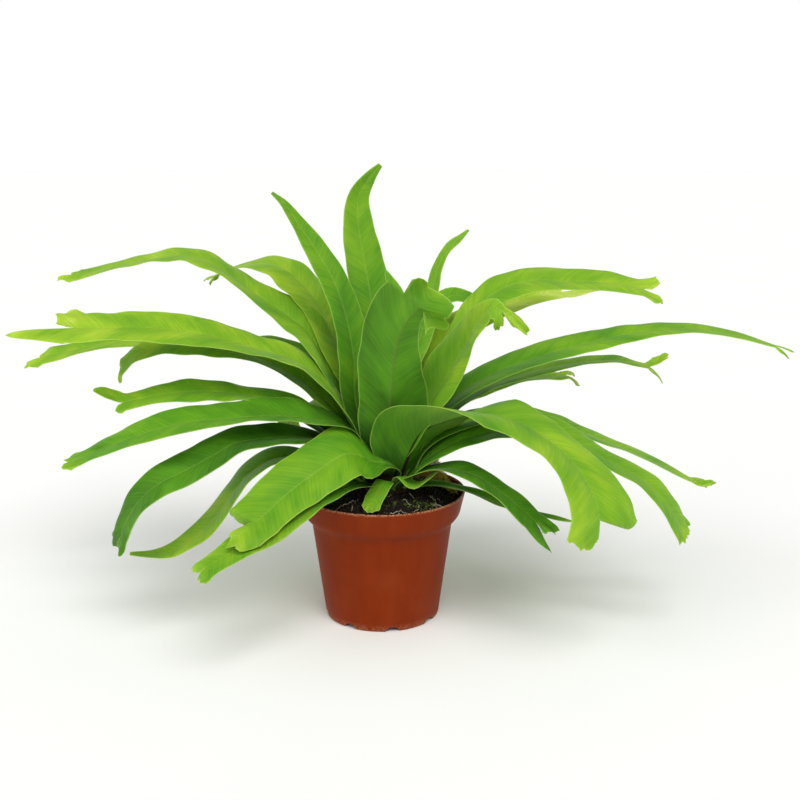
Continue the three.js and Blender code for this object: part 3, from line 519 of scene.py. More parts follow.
FRONDS = {
    "frond_left_high": dict(
        root=["middle", 158], tone=0.08, foot=10, width=40, widest=0.45, neck=0.5,
        fold=[25, 20, 10], roll=[0, 0, 0, 6, 26, 16, 4, 6, 8, 15, 22],
        crest=[[-10, 4, 18, 5], [14, 30, 13, 0]], pointed=0.5,
        course=[[-27, 10, 151], [-50, 24, 198], [-67, 30, 213], [-87, 35, 226], [-114, 42, 244],
            [-143, 47, 255], [-185, 51, 249], [-222, 55, 241]],
    ),
    "frond_left_broad": dict(
        root=["middle", 184], tone=0.12, foot=14, width=44, neck=0.9, fold=[25, 18, 12],
        roll=[-5, 0, 14, 22], waves=0.7, crest=[[-2, 6, 50, 7, 0.8], [12, 38, 25, 2, 0.3]],
        ruffle=6,
        course=[[-25, -4, 148], [-53, -6, 183], [-91, -8, 198], [-125, -8, 207], [-165, -6, 211],
            [-210, -4, 210.5]],
    ),
    # Its tone is raised as painted light, against the shade of the fronds above it.
    "frond_left_under": dict(
        root=["low", 150], tone=0.08, width=30, fold=[25, 20, 15], roll=[5, 8, 14, 22, 42],
        crest=[[-12, -2, 22], [5, 20, 16]],
        course=[[-27, 19, 150], [-64, 46, 184], [-112, 54, 191], [-158, 58, 191], [-204, 61, 188],
            [-250, 63, 179]],
    ),
    # Its tone is raised as painted light, against the shade of the fronds above it.
    "frond_left_hook": dict(
        root=["low", 170], tone=0.12, width=30, neck=0.6, fold=[25, 20, 15], roll=[5, 10, 25, 40],
        crest=[[-20, -5, 12], [5, 20, 9]], curl=40,
        course=[[-26, 3, 138], [-54, 9, 168], [-90, 16, 187], [-122, 19, 194], [-151, 20, 194],
            [-175, 21, 188], [-187, 22, 179]],
    ),
    "frond_left_narrow": dict(
        root=["low", 189], tone=0.03, width=32, neck=0.6, fold=[25, 18, 12], roll=[5, 10, 14, 34],
        crest=[[-40, -4, 8, 5, 0.4], [-4, 26, 24, -30, 0.6]], ruffle=6,
        course=[[-27, -8, 126], [-61, -6, 153], [-92, -3, 162], [-126, -2, 165], [-154, -3, 163],
            [-180, -4, 158]],
    ),
    "frond_left_wide": dict(
        root=["middle", 210], tone=-0.1, foot=16, width=42, widest=0.45, neck=0.5,
        fold=[30, 25, 12], roll=[5, 8, 11], waves=0.7,
        crest=[[-16, 0, 14, 5, 0], [4, 18, 14, -5, 0.4]],
        course=[[-22, -10, 138], [-49, -22, 150], [-76, -30, 154], [-109, -38, 154],
            [-135, -43, 152], [-162, -47, 145], [-185, -50, 137], [-200, -52, 131]],
    ),
    "frond_left_arching": dict(
        root=["low", 208], tone=-0.27, width=38, widest=0.55, neck=0.5, fold=[25, 20, 15],
        roll=[5, 12, 22], waves=0.6, crest=[[-2, 6, 15], [22, 46, 16]], pointed=0.4,
        course=[[-34, -18, 130], [-59, -30, 139], [-94, -46, 140], [-111, -53, 133],
            [-127, -58, 125], [-145, -63, 117], [-159, -67, 106], [-168, -70, 92], [-171, -72, 84]],
    ),
    "frond_left_low_hook": dict(
        root=["low", 227], tone=0.07, width=35, fold=[25, 15, 10], roll=[0, 12, 22], waves=0.5,
        course=[[-42, -22, 120], [-72, -25, 123], [-91, -28, 113], [-102, -31, 101],
            [-120, -37, 78], [-135, -42, 67], [-150, -46, 61], [-172, -49, 62]],
    ),
    "frond_front_left_broad": dict(
        root=["middle", 298], tone=0.02, width=53,
        outline=[[0, 0.14], [0.1, 0.12], [0.17, 0.16], [0.21, 0.38], [0.26, 0.8], [0.31, 0.94],
            [0.4, 0.86], [0.7, 0.84], [1, 0.78]],
        left=[1, 1.5, 1.4, 1, 0.98, 0.95, 0.92, 0.87, 0.82, 0.8, 0.82], fold=[15, 15, 10],
        roll=[5, 24, 18, 12], waves=0.7, crest=[[4, 22, 31, 10, 0.2], [14, 34, 12, 70, 0]],
        course=[[11, -21, 114], [4, -25, 119], [-5, -28, 121], [-13, -32, 126], [-25, -41, 130],
            [-42, -57, 123], [-59, -73, 114], [-72, -87, 105], [-78, -94, 101]],
    ),
    "frond_front_left_under": dict(
        root=["low", 245], foot=14, width=30, fold=[20, 15, 10], roll=[5, 8, 10],
        crest=[[-14, 0, 12, 25], [8, 20, 9]], pointed=0,
        course=[[-15, -34, 106], [-32, -51, 110], [-53, -74, 102], [-75, -96, 93],
            [-106, -122, 81]],
    ),
    "frond_upright_tall": dict(
        root=["high", 95], facing=95, tone=0.01, foot=14, width=31, widest=0.55, fold=[20, 22, 20],
        waves=0.6,
        course=[[0, 14, 148], [-5, 26, 189], [-8, 34, 225], [-13, 40, 253], [-17, 44, 277],
            [-17, 46, 297], [-9, 46, 311], [-1, 46, 320]],
    ),
    "frond_upright_left": dict(
        root=["high", 155], facing=125, tone=-0.1, foot=12, width=29, widest=0.38,
        fold=[20, 20, 15], waves=0.6,
        course=[[-18, 5, 152], [-20, 8, 187], [-25, 12, 215], [-34, 16, 241], [-45, 18, 260],
            [-57, 20, 278], [-67, 20, 293], [-76, 20, 302]],
    ),
    "frond_back_left_bent": dict(
        root=["middle", 128], facing=140, tone=0.19, foot=12, width=44, widest=0.6, neck=0.35,
        fold=[15, 12, 10], crest=[[-10, 2, 10], [5, 12, 14]], pointed=0.5,
        course=[[-12, 22, 151], [-30, 34, 187], [-40, 46, 207], [-50, 56, 222], [-62, 64, 234],
            [-74, 70, 243], [-90, 76, 246], [-110, 82, 243], [-128, 88, 236]],
    ),
    # Its crest is painted lighter than the blade, as light falling on it.
    "frond_centre_crested": dict(
        root=["high", 262], facing=268, tone=-0.18, width=53,
        outline=[[0, 0.4], [0.12, 0.75], [0.3, 0.86], [0.6, 0.95], [0.85, 1.02], [1, 1.12]],
        left=[1.2, 1.35, 1.05, 0.6, 0.2], fold=[20, 20, 15], waves=0.6,
        crest=[[-150, -125, 8, 60, 0], [-132, 18, 26, 0, 0], [58, 84, 13, -10, 0.9]], ruffle=8,
        frill=2.4, teeth=0.3, crest_painted_light=0.08,
        course=[[5, -20, 142], [7, -26, 170], [9, -31, 194], [13, -36, 211], [19, -41, 223],
            [26, -45, 231]],
    ),
    "frond_back_right_thin": dict(
        root=["middle", 74], facing=60, width=18, widest=0.35, fold=[25, 25, 15],
        course=[[12, 21, 148], [25, 44, 193], [37, 68, 226], [42, 82, 242], [50, 88, 256],
            [65, 94, 270]],
    ),
    "frond_right_crested": dict(
        root=["high", 340], facing=335, tone=0.1, foot=16, width=43, widest=0.4, neck=0.36,
        left=[1, 1.1, 1.25, 1.25, 0.5], fold=[15, 18, 15], roll=[-35, -50, -40], waves=0.7,
        crest=[[-4, 16, 26, 18, 0.3], [40, 64, 11, 40, 0]],
        course=[[27, -9, 146], [43, -13, 174], [55, -19, 197], [65, -28, 218], [74, -36, 230],
            [80, -41, 228]],
    ),
    "frond_right_behind": dict(
        root=["high", 40], facing=45, tone=-0.06, width=19, widest=0.7, fold=[20, 15, 10],
        roll=[0, -10, -30],
        course=[[14, 14, 150], [25, 31, 189], [36, 43, 216], [50, 51, 225], [65, 57, 223],
            [79, 60, 216]],
    ),
    "frond_right_high": dict(
        root=["middle", 20], tone=0.07, width=40,
        outline=[[0, 0.25], [0.3, 0.36], [0.45, 0.55], [0.6, 0.95], [0.75, 1], [1, 0.72]],
        roll=[-5, -15, -24, -18], waves=0.7, crest=[[-30, -6, 17, -6, 0], [-6, 20, 18, 8, 0]],
        ruffle=5,
        course=[[28, 8, 148], [46, 20, 188], [64, 30, 215], [86, 36, 232], [111, 40, 238],
            [136, 42, 237], [166, 42, 236], [188, 42, 232]],
    ),
    "frond_right_yellow": dict(
        root=["middle", 47], tone=0.3, foot=14, width=38, neck=0.55, roll=[-5, -12, -14],
        waves=0.7, crest=[[-24, -16, 16], [-14, -8, 42]], curl=-5, pointed=0.8,
        course=[[20, 24, 146], [37, 43, 184], [58, 59, 202], [89, 75, 212], [117, 88, 220],
            [137, 96, 222]],
    ),
    "frond_right_long": dict(
        root=["middle", 352], tone=0.03, foot=14, width=42, widest=0.32, neck=0.15,
        fold=[20, 15, 10], roll=[-5, -12, -14, -10], waves=0.4,
        crest=[[-4, 4, 18, 5, 0.9], [8, 20, 15, 20, 0.9]], ruffle=2,
        course=[[32, 0, 139], [56, 8, 162], [84, 12, 177], [117, 16, 188], [149, 20, 196],
            [185, 24, 203], [222, 26, 205], [256, 28, 200], [284, 30, 192]],
    ),
    # Its tone is raised as painted light, to lighten it in the shade it lies in.
    "frond_right_second": dict(
        root=["low", 30], tone=0.1, width=29, neck=0.5, roll=[-5, -12], waves=0.5,
        crest=[[-36, -2, 24, -15, 0.1], [-8, 0, 20, 20, 0.9]],
        course=[[34, 15, 134], [69, 40, 155], [104, 60, 164], [143, 76, 169], [180, 86, 170],
            [206, 91, 164]],
    ),
    # Its tone is raised as painted light, to lighten it in the shade it lies in.
    "frond_right_third": dict(
        root=["low", 52], tone=0.1, width=23, roll=[-5, -10], waves=0.6,
        crest=[[-24, -6, 19], [8, 34, 14]], curl=25,
        course=[[28, 26, 128], [62, 56, 147], [100, 88, 153], [145, 114, 152]],
    ),
    "frond_front_right_broad": dict(
        root=["middle", 312], tone=0.08, width=54,
        outline=[[0, 0.4], [0.05, 0.85], [0.12, 1.25], [0.2, 1.4], [0.3, 1.3], [0.6, 0.98],
            [1, 0.88]],
        left=[0.6, 0.7, 0.92, 0.85, 1.45], fold=[25, 16, 12],
        roll=[32, 34, 10, -14, -14, -12, -12], waves=0.6,
        crest=[[-64, -56, 13, 30, 0.8], [-8, 6, 22, 10, 0.1]],
        course=[[26, -21, 138], [42, -30, 150], [58, -38, 157], [75, -46, 159], [92, -55, 156],
            [109, -66, 148], [121, -76, 139], [130, -88, 129], [136, -100, 118], [138, -107, 107]],
    ),
    "frond_right_low_far": dict(
        root=["low", 354], foot=20, width=34, widest=0.3, neck=0.35, roll=[-5, -12, -5], waves=0.5,
        crest=[[-30, -8, 21, 10], [2, 12, 18, -35]], pointed=0.1,
        course=[[32, -6, 128], [58, -4, 143], [90, 0, 147], [122, 3, 141], [156, 3, 129],
            [189, 3, 115], [222, 2, 99]],
    ),
    "frond_right_low_near": dict(
        root=["low", 335], width=38,
        outline=[[0, 0.4], [0.08, 0.75], [0.2, 1], [0.4, 0.92], [0.65, 0.78], [1, 0.7]],
        fold=[20, 15, 12], roll=[-5, -12, -16], waves=0.6, crest=[[-20, 4, 15]], curl=5, pointed=0,
        ruffle=0,
        course=[[30, -20, 119], [54, -24, 135], [83, -26, 143], [116, -28, 144], [138, -30, 134],
            [156, -32, 123], [174, -35, 114], [188, -39, 104], [198, -42, 92], [204, -43, 82]],
    ),
    "frond_front_right_low": dict(
        root=["low", 296], tone=-0.24, foot=12, width=24, widest=0.45, neck=0.85,
        fold=[25, 18, 10], roll=[0, -5, -14], waves=0.6,
        crest=[[-8, 12, 19, 10, 0.1], [-10, -4, 26, 10, 0.9]],
        course=[[20, -30, 111], [35, -36, 118], [51, -43, 120], [67, -50, 116], [83, -59, 107],
            [101, -68, 93]],
    ),
    "frond_front_right_thin": dict(
        root=["low", 316], width=13, fold=[25, 20, 10], roll=[-5], waves=0.4,
        course=[[28, -21, 102], [42, -23, 103], [62, -27, 99], [86, -31, 91], [110, -35, 85],
            [132, -37, 81]],
    ),
    "frond_back_arching": dict(
        BACK, root=["low", 88], width=34,
        course=[[4, 32, 128], [7, 62, 148], [9, 92, 152], [10, 120, 140], [10, 140, 122]],
    ),
    "frond_back_left_high": dict(
        BACK, root=["middle", 100], width=34,
        course=[[2, 34, 144], [-6, 68, 176], [-16, 98, 189], [-25, 124, 181], [-31, 143, 164]],
    ),
    "frond_back_right_arching": dict(
        BACK, root=["low", 70], width=30,
        course=[[17, 32, 136], [28, 62, 162], [36, 92, 172], [41, 118, 164], [44, 136, 148]],
    ),
    "frond_back_low": dict(
        BACK, root=["low", 108], width=30,
        course=[[-6, 29, 112], [-16, 56, 122], [-23, 84, 118], [-28, 108, 102], [-30, 124, 84]],
    ),
    "frond_back_low_left": dict(
        BACK, root=["low", 130], width=28, crest=[[-25, -5, 14], [5, 25, 14]],
        course=[[-20, 18, 120], [-40, 42, 138], [-56, 62, 140], [-68, 80, 130], [-76, 93, 117]],
    ),
    "frond_front_stub": dict(
        root=["low", 269], tone=-0.04, foot=12, width=13.5, widest=0.8, neck=0.95, fold=[10, 8, 5],
        waves=0, crest=[[-6, 6, 8, 10, 0.4]], ruffle=0, teeth=0,
        course=[[3, -27, 107], [0, -34, 105], [-4, -41, 100], [-6, -45, 97]],
    ),
    "frond_front_curl": dict(
        root=["low", 283], facing=250, foot=6, width=12, fold=[15, 10, 5], roll=[-35], waves=0.2,
        course=[[14, -31, 111], [19, -34, 108], [25, -36, 107], [32, -38, 112], [38, -39, 117]],
    ),
}

RING_RISE = {"low": 28, "middle": 48, "high": 68}  # degrees up the crown's dome
BLADE_THICKNESS = 0.5
STALK_THICKNESS = 1.9
STALK_SHARE = 0.06
POINT = 0.12  # width at a plain tip, by share of the widest
RIB_ROUND = 0.04
CUP = 0.18  # how far the margins droop, by share of the half width
SLOW_WAVE, SLOW_COUNT = 1.6, 2.5  # height of a margin's long waves, and how many of them there are
QUICK_WAVE, QUICK_PITCH = 0.6, 27  # height and length of its short waves
RIDGE, GROOVE = 0.7, 0.25  # how far the rib stands out underneath and sinks in above
# [share of the length, half width in mm] of the rib, and [share, ripeness with painted shade].
RIB_HALF = [[0, 1.6], [0.3, 1.1], [1, 0.6], [1.1, 0.3]]
# Ripeness is kept low at the foot as painted shade, the shade under the fronds by the crown.
RIPENESS_AND_FOOT_SHADE = [[0.02, 0.1], [0.3, 0.41], [0.6, 0.51], [1, 0.55], [1.1, 0.64]]
VEIN_SLANT = 0.8
PATTERN_STEP = 40  # the pattern's shift from one frond to the next
FROND_SEED = 100
ROW_LENGTH = 3.2
COLUMNS = 40
LOBE_ROWS = 14
SPLITS = {1: [4], 2: [2, 2], 3: [1, 2, 1]}  # the quarters of the blade that each lobe takes


def spread_over(values, share):
    """The value at `share`, from 0 to 1, along an evenly spaced list."""
    return np.interp(share, np.linspace(0, 1, len(values)), values)


def frond_course(frond):
    """Places, directions, right-hand and upward directions at even lengths along the midrib.

    Between P1 and P2 the course is the curve through its places P0 to P3
    (2 P1 + (P2 - P0) t + (2 P0 - 5 P1 + 4 P2 - P3) t^2 + (3 P1 - P0 - 3 P2 + P3) t^3) / 2.
    """
    ring, azimuth = frond["root"]
    root = crown_point(np.radians(RING_RISE[ring]), np.radians(azimuth))
    points = np.vstack([root, frond["course"]])
    points = np.vstack([2 * points[0] - points[1], points, 2 * points[-1] - points[-2]])
    p0, p1, p2, p3 = points[:-3, None], points[1:-2, None], points[2:-1, None], points[3:, None]
    t = np.linspace(0, 1, 60, endpoint=False)[:, None]
    curve = 2 * p1 + (p2 - p0) * t + (2 * p0 - 5 * p1 + 4 * p2 - p3) * t**2
    curve = (curve + (3 * p1 - p0 - 3 * p2 + p3) * t**3) / 2
    curve = np.vstack([curve.reshape(-1, 3), points[-2]])
    run = np.append(0, np.cumsum(np.linalg.norm(np.diff(curve, axis=0), axis=1)))
    rows = max(16, round(run[-1] / ROW_LENGTH))
    share = np.linspace(0, 1, rows + 1)
    places = np.stack([np.interp(share * run[-1], run, curve[:, k]) for k in range(3)], 1)
    ahead = np.gradient(places, axis=0)
    ahead /= np.linalg.norm(ahead, axis=1, keepdims=True)
    chord = points[-2] - root
    facing = np.radians(frond["facing"]) if "facing" in frond else np.arctan2(chord[1], chord[0])
    side = np.array([np.sin(facing), -np.cos(facing), 0])
    sides = []
    for direction in ahead:
        side = side - side.dot(direction) * direction
        side = side / np.linalg.norm(side)
        sides.append(side)
    sides = np.array(sides)
    lift = np.radians(spread_over(frond["roll"], share))[:, None]
    right = sides * np.cos(lift) - np.cross(ahead, sides) * np.sin(lift)
    return share, run[-1], places, ahead, right, np.cross(right, ahead)


def half_width(frond, share):
    """W / 2 (s + (1 - s) sin(90 deg rise) - (1 - tip) fall^2), with s the stalk's share of W.

    A frond with an `outline` takes its shares of W from there instead, evened out over five rows.
    """
    if "outline" in frond:
        known = np.array(frond["outline"])
        shares = np.interp(share.ravel(), known[:, 0], known[:, 1])
        shares = np.convolve(np.pad(shares, 2, mode="edge"), np.full(5, 0.2), mode="valid")
        return frond["width"] / 2 * shares.reshape(share.shape)
    widest = frond["widest"]
    tip = frond["neck"] if frond["crest"] else POINT
    stalk = min(0.9, frond["foot"] / frond["width"])
    rise = np.clip((share - STALK_SHARE) / (widest - STALK_SHARE), 0, 1)
    fall = np.maximum(0, (share - widest) / (1 - widest))
    swell = np.sin(np.pi / 2 * rise)
    return frond["width"] / 2 * (stalk + (1 - stalk) * swell - (1 - tip) * fall**2)


def frond_blade(frond, drawn):
    """The blade's middle surface, with a from -1 to 1 across it and h its half width:

    place + right a h cos(fold) + up (h (sin(fold) |a| - cup a^2) + waves). After its x, y and z,
    each point has its way along the blade, aside from the rib and in from the margin, and its
    share of the length. The second value is the tip's forward, right-hand and upward direction.
    """
    share, length, places, ahead, right, up = frond_course(frond)
    across = np.linspace(-1, 1, COLUMNS + 1)[None]
    along = share[:, None]
    phase = drawn.uniform(0, TAU, 4)
    # The width varies by 2 % three times along the blade and by 1.2 % every 21 mm.
    uneven = 0.02 * np.sin(TAU * 3.3 * along + phase[0] + 1.5 * np.sign(across))
    uneven = uneven + 0.012 * np.sin(TAU * length / 21 * along + phase[1] + np.sign(across))
    half = half_width(frond, along) * (1 + uneven * (across != 0))
    half = half * np.where(across < 0, spread_over(frond["left"], along), 1)
    fold = np.radians(spread_over(frond["fold"], along))
    bent = np.sqrt(across**2 + RIB_ROUND**2) - RIB_ROUND  # |a|, rounded at the rib
    grown = np.minimum(1, 3 * along) * frond["waves"]
    phased = np.where(across > 0, 2, 0)
    slow = SLOW_WAVE * np.sin(TAU * SLOW_COUNT * along + phased) * across**2
    quick = QUICK_WAVE * np.sin(TAU * length / QUICK_PITCH * along + phase[2] + phased)
    quick = quick * across**4 * (0.6 + 0.6 * np.sin(TAU * 1.7 * along + phase[3]))
    rise = half * (np.sin(fold) * bent - CUP * across**2) + grown * (slow + quick)
    sheet = places[:, None] + (across * half * np.cos(fold))[..., None] * right[:, None]
    sheet = sheet + rise[..., None] * up[:, None]
    way, margin = length * along + 0 * across, (1 - np.abs(across)) * half
    blade = np.dstack([sheet, way, across * half, margin, along + 0 * across])
    return blade, (ahead[-1], right[-1], up[-1])


def crest_lobe(foot, lobe, index, frond, tip, drawn):
    """One lobe of the crest, run on from part of the blade's last row, with the same columns.

    Foot point w, from 0 to 1, goes on by r(s, w) = length s outline(w) in the direction
    cos(curl) (ahead cos(turn) + right sin(turn)) - up sin(curl), with waves that grow as s^2.
    """
    ahead, right, up = tip
    along, aside, margin = foot[:, 3:6].T
    first, last, reach = lobe[:3]
    curl = lobe[3] if len(lobe) > 3 else frond["curl"]
    pointed = lobe[4] if len(lobe) > 4 else frond["pointed"]
    s = np.linspace(0, 1, LOBE_ROWS + 1)[:, None]
    w = np.linspace(0, 1, len(foot))[None]
    fingers = max(1, round((len(foot) - 1) / 6))  # one for every six strips of the blade
    phase = drawn.uniform(0, TAU, 3)
    blunt = 1 - pointed
    outline = 1 - (0.3 + 0.7 * pointed) * np.abs(2 * w - 1) ** (2.2 - pointed)
    teeth = frond["teeth"] * (0.5 - 0.5 * np.cos(TAU * fingers * w + phase[0]))
    outline = outline - blunt * teeth
    outline = outline - 0.05 * blunt * np.abs(np.sin(np.pi * 2.7 * fingers * w + phase[1]))
    run = reach * s * outline
    ruffle = (1 if index % 2 else -1) * frond["ruffle"]
    bend = np.radians(curl * s + ruffle * np.minimum(1, 3 * s))
    turn = np.radians(first + (last - first) * w)
    flat = np.cos(turn)[..., None] * ahead + np.sin(turn)[..., None] * right
    swing = frond["frill"] * min(1.6, 0.08 * reach)
    frill = swing * s**1.5 * np.sin(TAU * (0.5 + 0.5 * fingers) * w + phase[2])
    frill = frill * (0.3 + 0.7 * blunt)
    points = foot[:, :3] + (run * np.cos(bend))[..., None] * flat
    points = points + (frill - run * np.sin(bend))[..., None] * up
    breadth = np.linalg.norm(points[:, -1] - points[:, 0], axis=1)[:, None]
    free = np.minimum(np.minimum(w, 1 - w) * breadth, (1 - s) * reach * outline)
    joined = np.clip(s / 0.3, 0, 1)
    along, aside = along + run * np.cos(turn), aside + run * np.sin(turn)
    margin = (1 - joined) * margin + joined * free
    return np.dstack([points, along, aside, margin, 1 + 0.1 * s + 0 * w])


def thickened(points, faces, over, under):
    """Both faces of a sheet, `over` and `under` its middle, joined by a wall along its edge."""
    corner = points[faces]
    normal = np.cross(corner[:, 2] - corner[:, 0], corner[:, 3] - corner[:, 1])
    normals = np.zeros_like(points)
    for k in range(4):
        np.add.at(normals, faces[:, k], normal)
    normals /= np.linalg.norm(normals, axis=1, keepdims=True) + 1e-12
    count = len(points)
    edges = np.stack([faces, np.roll(faces, -1, axis=1)], axis=2).reshape(-1, 2)
    key = edges.min(axis=1) * count + edges.max(axis=1)
    _, where, shared = np.unique(key, return_index=True, return_counts=True)
    start, end = edges[where[shared == 1]].T
    wall = np.stack([start, start + count, end + count, end], axis=1)
    both = np.vstack([points + normals * over[:, None], points - normals * under[:, None]])
    return both, np.vstack([faces, faces[:, ::-1] + count, wall])


# Living leaf: a waxy, softly glossy skin over green tissue that some light passes through. It is
# deep green at the foot, where that is painted shade, brighter and blotched with yellow-green
# further out, with fine streaks that run slantwise to a thin pale margin. Some fronds and one crest
# are painted lighter to stand in for light. The underside is greyer, and its rib starts dark brown.
leaf, tree, shader, place = new_material(
    "LivingLeaf",
    IOR=1.42,
    Specular_IOR_Level=0.16,
    Subsurface_Weight=0.45,
    Subsurface_Radius=(0.4, 1.0, 0.15),
    Subsurface_Scale=0.001,
)
on_blade = add(tree, "Attribute", {}, attribute_name="blade").node.outputs["Vector"]
reads = {
    name: add(tree, "Attribute", {}, attribute_name=name).node.outputs["Fac"]
    for name in ("rib", "margin", "under", "ripe_and_painted_light", "outward")
}
# The real veins stand about 1.2 mm apart, too fine to show, so the streaks are 1.8 mm wide. The
# blotches are about 3 cm across and the freckles 2.4 mm.
combed = add(tree, "Mapping", {"Vector": on_blade, "Scale": (1 / 0.0018, 1 / 0.022, 1)})
streaks = add(tree, "TexNoise", {"Vector": combed, "Scale": 1.0})
banded = add(tree, "Mapping", {"Vector": on_blade, "Scale": (1 / 0.028, 1 / 0.03, 20)})
blotches = add(tree, "TexNoise", {"Vector": banded, "Scale": 1.0, "Detail": 3.0})
freckles = add(tree, "TexNoise", {"Vector": place, "Scale": 420.0})

# Ripeness, with its painted shade and light, shifted by blotches and streaks, runs through the
# leaf's own greens.
shift = add(tree, "MapRange", {0: blotches, 1: 0.3, 2: 0.7, 3: -0.14, 4: 0.14})
shift = add(tree, "Math", {0: shift, 1: reads["ripe_and_painted_light"]}, operation="ADD")
combing = add(tree, "MapRange", {0: streaks, 1: 0.3, 2: 0.7, 3: -0.05, 4: 0.05})
ripeness_and_painted_light = add(tree, "Math", {0: shift, 1: combing}, operation="ADD")
greens = add(tree, "ValToRGB", {0: ripeness_and_painted_light})
steps = greens.node.color_ramp.elements
for position, green in zip((0.2, 0.4, 0.6, 0.8), ("#3F7016", "#558F1C", "#76A422", "#9CBC2E")):
    steps.new(position).color = linear(green)
steps[0].color, steps[-1].color = linear("#24520E"), linear("#C8D36C")

rib_line = add(tree, "MapRange", {0: reads["rib"], 1: 1.0, 2: 0.4})
edge_line = add(tree, "MapRange", {0: reads["margin"], 1: 0.9, 2: 0.3, 4: 0.4})
dimmed = add(tree, "MapRange", {0: reads["outward"], 1: 0.0, 2: 0.02, 3: 0.8, 4: 0.0})
rib_share = add(tree, "Math", {0: rib_line, 1: 0.14}, operation="MULTIPLY")
upper = add(tree, "Mix", {0: rib_share, 6: greens, 7: "#B4CC6A"})
greyed = add(tree, "MapRange", {0: reads["ripe_and_painted_light"], 1: 0.3, 2: 0.75, 4: 0.5})
lower = add(tree, "Mix", {0: greyed, 6: greens, 7: "#A4BE6A"})
browned = add(tree, "MapRange", {0: reads["outward"], 1: 0.2, 2: 0.5})
rib_colour = add(tree, "Mix", {0: browned, 6: "#2A1B0C", 7: "#5E8030"})
lower = add(tree, "Mix", {0: rib_line, 6: lower, 7: rib_colour})

colour = add(tree, "Mix", {0: reads["under"], 6: upper, 7: lower})
colour = add(tree, "Mix", {0: edge_line, 6: colour, 7: "#B7CB6A"})
colour = add(tree, "Mix", {0: dimmed, 6: colour, 7: "#2B2413"})
rough = add(tree, "MapRange", {0: blotches, 1: 0.3, 2: 0.7, 3: 0.4, 4: 0.5})
rough = add(tree, "Math", {0: reads["under"], 1: 0.2, 2: rough}, operation="MULTIPLY_ADD")
swell = add(tree, "Math", {0: freckles, 1: 0.3, 2: streaks}, operation="MULTIPLY_ADD")
relief = add(tree, "Bump", {"Height": swell, "Strength": 0.5, "Distance": 0.0006})
set_inputs(shader, {"Base Color": colour, "Roughness": rough, "Normal": relief})

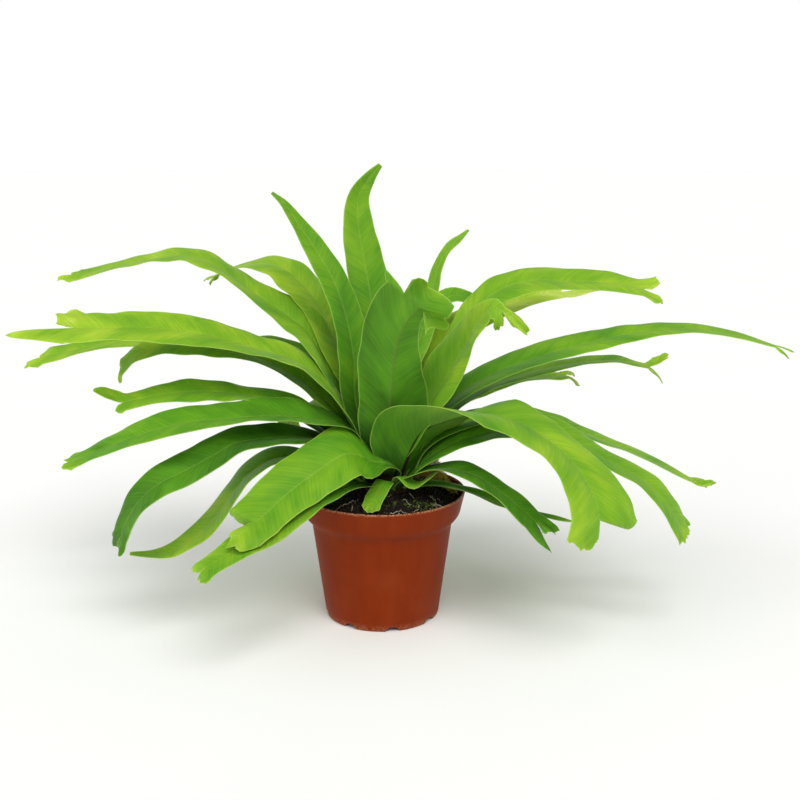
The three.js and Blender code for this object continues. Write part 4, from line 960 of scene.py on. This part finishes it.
for number, (name, own) in enumerate(FRONDS.items()):
    frond = PLAIN | own
    drawn = np.random.default_rng(FROND_SEED + number)
    blade, tip = frond_blade(frond, drawn)
    parts = [blade.reshape(-1, 7)]
    faces = [grid_faces(len(blade), COLUMNS + 1)]
    start = (len(blade) - 1) * (COLUMNS + 1)
    for index, lobe in enumerate(frond["crest"]):
        strips = SPLITS[len(frond["crest"])][index] * COLUMNS // 4
        foot = np.arange(start, start + strips + 1)
        grown = crest_lobe(parts[0][foot], lobe, index, frond, tip, drawn)
        # The lobe's first row is the blade's own, so its numbers point there.
        numbers = np.append(foot, sum(map(len, parts)) + np.arange(LOBE_ROWS * len(foot)))
        faces.append(numbers[grid_faces(LOBE_ROWS + 1, len(foot))])
        parts.append(grown[1:].reshape(-1, 7))
        start += strips
    whole = np.vstack(parts)
    points, (along, aside, margin, share) = whole[:, :3], whole[:, 3:].T
    from_rib = np.abs(aside)

    # The rib is a round ridge underneath and a shallow groove above, which fade towards the tip
    # and are narrower on a frond under 26 mm wide. The blade thins over its last 2 mm.
    rib_half = np.interp(share, *np.transpose(RIB_HALF)) * min(1, frond["width"] / 26)
    ridge = np.exp(-((from_rib / rib_half) ** 2)) * np.interp(share, [0, 1, 1.1], [1, 0.25, 0])
    stalk = np.clip(1 - share / (2 * STALK_SHARE), 0, 1)
    body = BLADE_THICKNESS + (STALK_THICKNESS - BLADE_THICKNESS) * stalk
    body = body * np.interp(margin, [0, 2], [0.6, 1])
    over, under = body / 2 - GROOVE * ridge, body / 2 + RIDGE * ridge
    points, faces = thickened(points, np.vstack(faces), over, under)

    blade = new_piece(name.title().replace("_", ""), points, faces.tolist(), leaf, sharp=0.7)
    # The ripeness carries painted shade at the foot, and painted light where tones are raised.
    tone = frond["tone"] + drawn.uniform(-0.03, 0.03)
    on_crest = np.clip((share - 1) / 0.02, 0, 1)
    ripe_and_painted_light = np.interp(share, *np.transpose(RIPENESS_AND_FOOT_SHADE)) + tone
    per_point = {
        "rib": np.tile(from_rib / rib_half, 2),
        "margin": np.tile(margin, 2),
        "ripe_and_painted_light": np.tile(ripe_and_painted_light + frond["crest_painted_light"] * on_crest, 2),
        "outward": np.tile(share, 2),
        "under": np.concatenate([0 * share, np.clip((1.03 - share) / 0.03, 0, 1)]),
    }
    # Where a point lies on the flattened blade, in metres, slanted towards the tip at the margins.
    step = np.full_like(aside, PATTERN_STEP * number)
    on_blade = np.stack([along - VEIN_SLANT * from_rib, aside, step], 1)
    layer = blade.data.attributes.new("blade", "FLOAT_VECTOR", "POINT")
    layer.data.foreach_set("vector", np.tile(on_blade * 0.001, (2, 1)).astype(np.float32).ravel())
    for what, value in per_point.items():
        layer = blade.data.attributes.new(what, "FLOAT", "POINT")
        layer.data.foreach_set("value", value.astype(np.float32))
    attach(blade, "root")
    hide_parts(name)

# ----------------------------------------
# Studio: a pale floor, a broad soft light from above and in front, a little to the right, a weaker
# fill from the left, and the camera 0.8 m in front of the pot and a little above the plant.

FLOOR_RINGS = np.array([[9000.0, 0.0], [900.0, 0.0], [60.0, 0.0]])  # radius and height
FLOOR_SIDES = 96

paper = grained(
    "PaleBackdropPaper", 6.0, "#F3F3F1", "#F7F7F5", Roughness=0.9, Specular_IOR_Level=0.1
)
floor_faces = grid_faces(3, FLOOR_SIDES, closed=True).tolist()
floor_faces.append(list(range(2 * FLOOR_SIDES, 3 * FLOOR_SIDES)))
floor = new_piece("StudioFloor", turned(FLOOR_RINGS, FLOOR_SIDES), floor_faces, paper)

# The room is brightest at the horizon, where it meets the floor without a line.
world = bpy.data.worlds.new("SoftRoom")
world.use_nodes = True
room = world.node_tree
bearing = room.nodes.new("ShaderNodeTexCoord").outputs["Generated"]
upward = add(room, "SeparateXYZ", {0: bearing}).node.outputs["Z"]
glow = add(room, "MapRange", {0: upward, 1: 0.12, 2: 0.45, 3: 1.0, 4: 0.4})
set_inputs(room.nodes["Background"], {"Strength": glow, "Color": "#FFFFFF"})
bpy.context.scene.world = world

# Broad lights, far enough away that the floor is evenly lit: bearing, height, width and strength.
for name, bearing, height, width, strength in (
    ("KeyLight", 288, 52, 40, 1.95),
    ("FillLight", 205, 35, 60, 1.0),
):
    light = bpy.data.lights.new(name, "SUN")
    light.angle, light.energy = np.radians(width), strength
    lamp = placed(name, light)
    lamp.rotation_euler = (np.radians(90 - height), 0, np.radians(bearing + 90))

lens = bpy.data.cameras.new("PhotoCamera")
lens.lens = 52.3
lens.sensor_width = 36
camera = placed("PhotoCamera", lens)
camera.location = (0.013, -0.8, 0.346)
camera.rotation_euler = (np.radians(90 - 13.2), 0, 0)
bpy.context.scene.camera = camera
bpy.context.scene.view_settings.view_transform = "Standard"
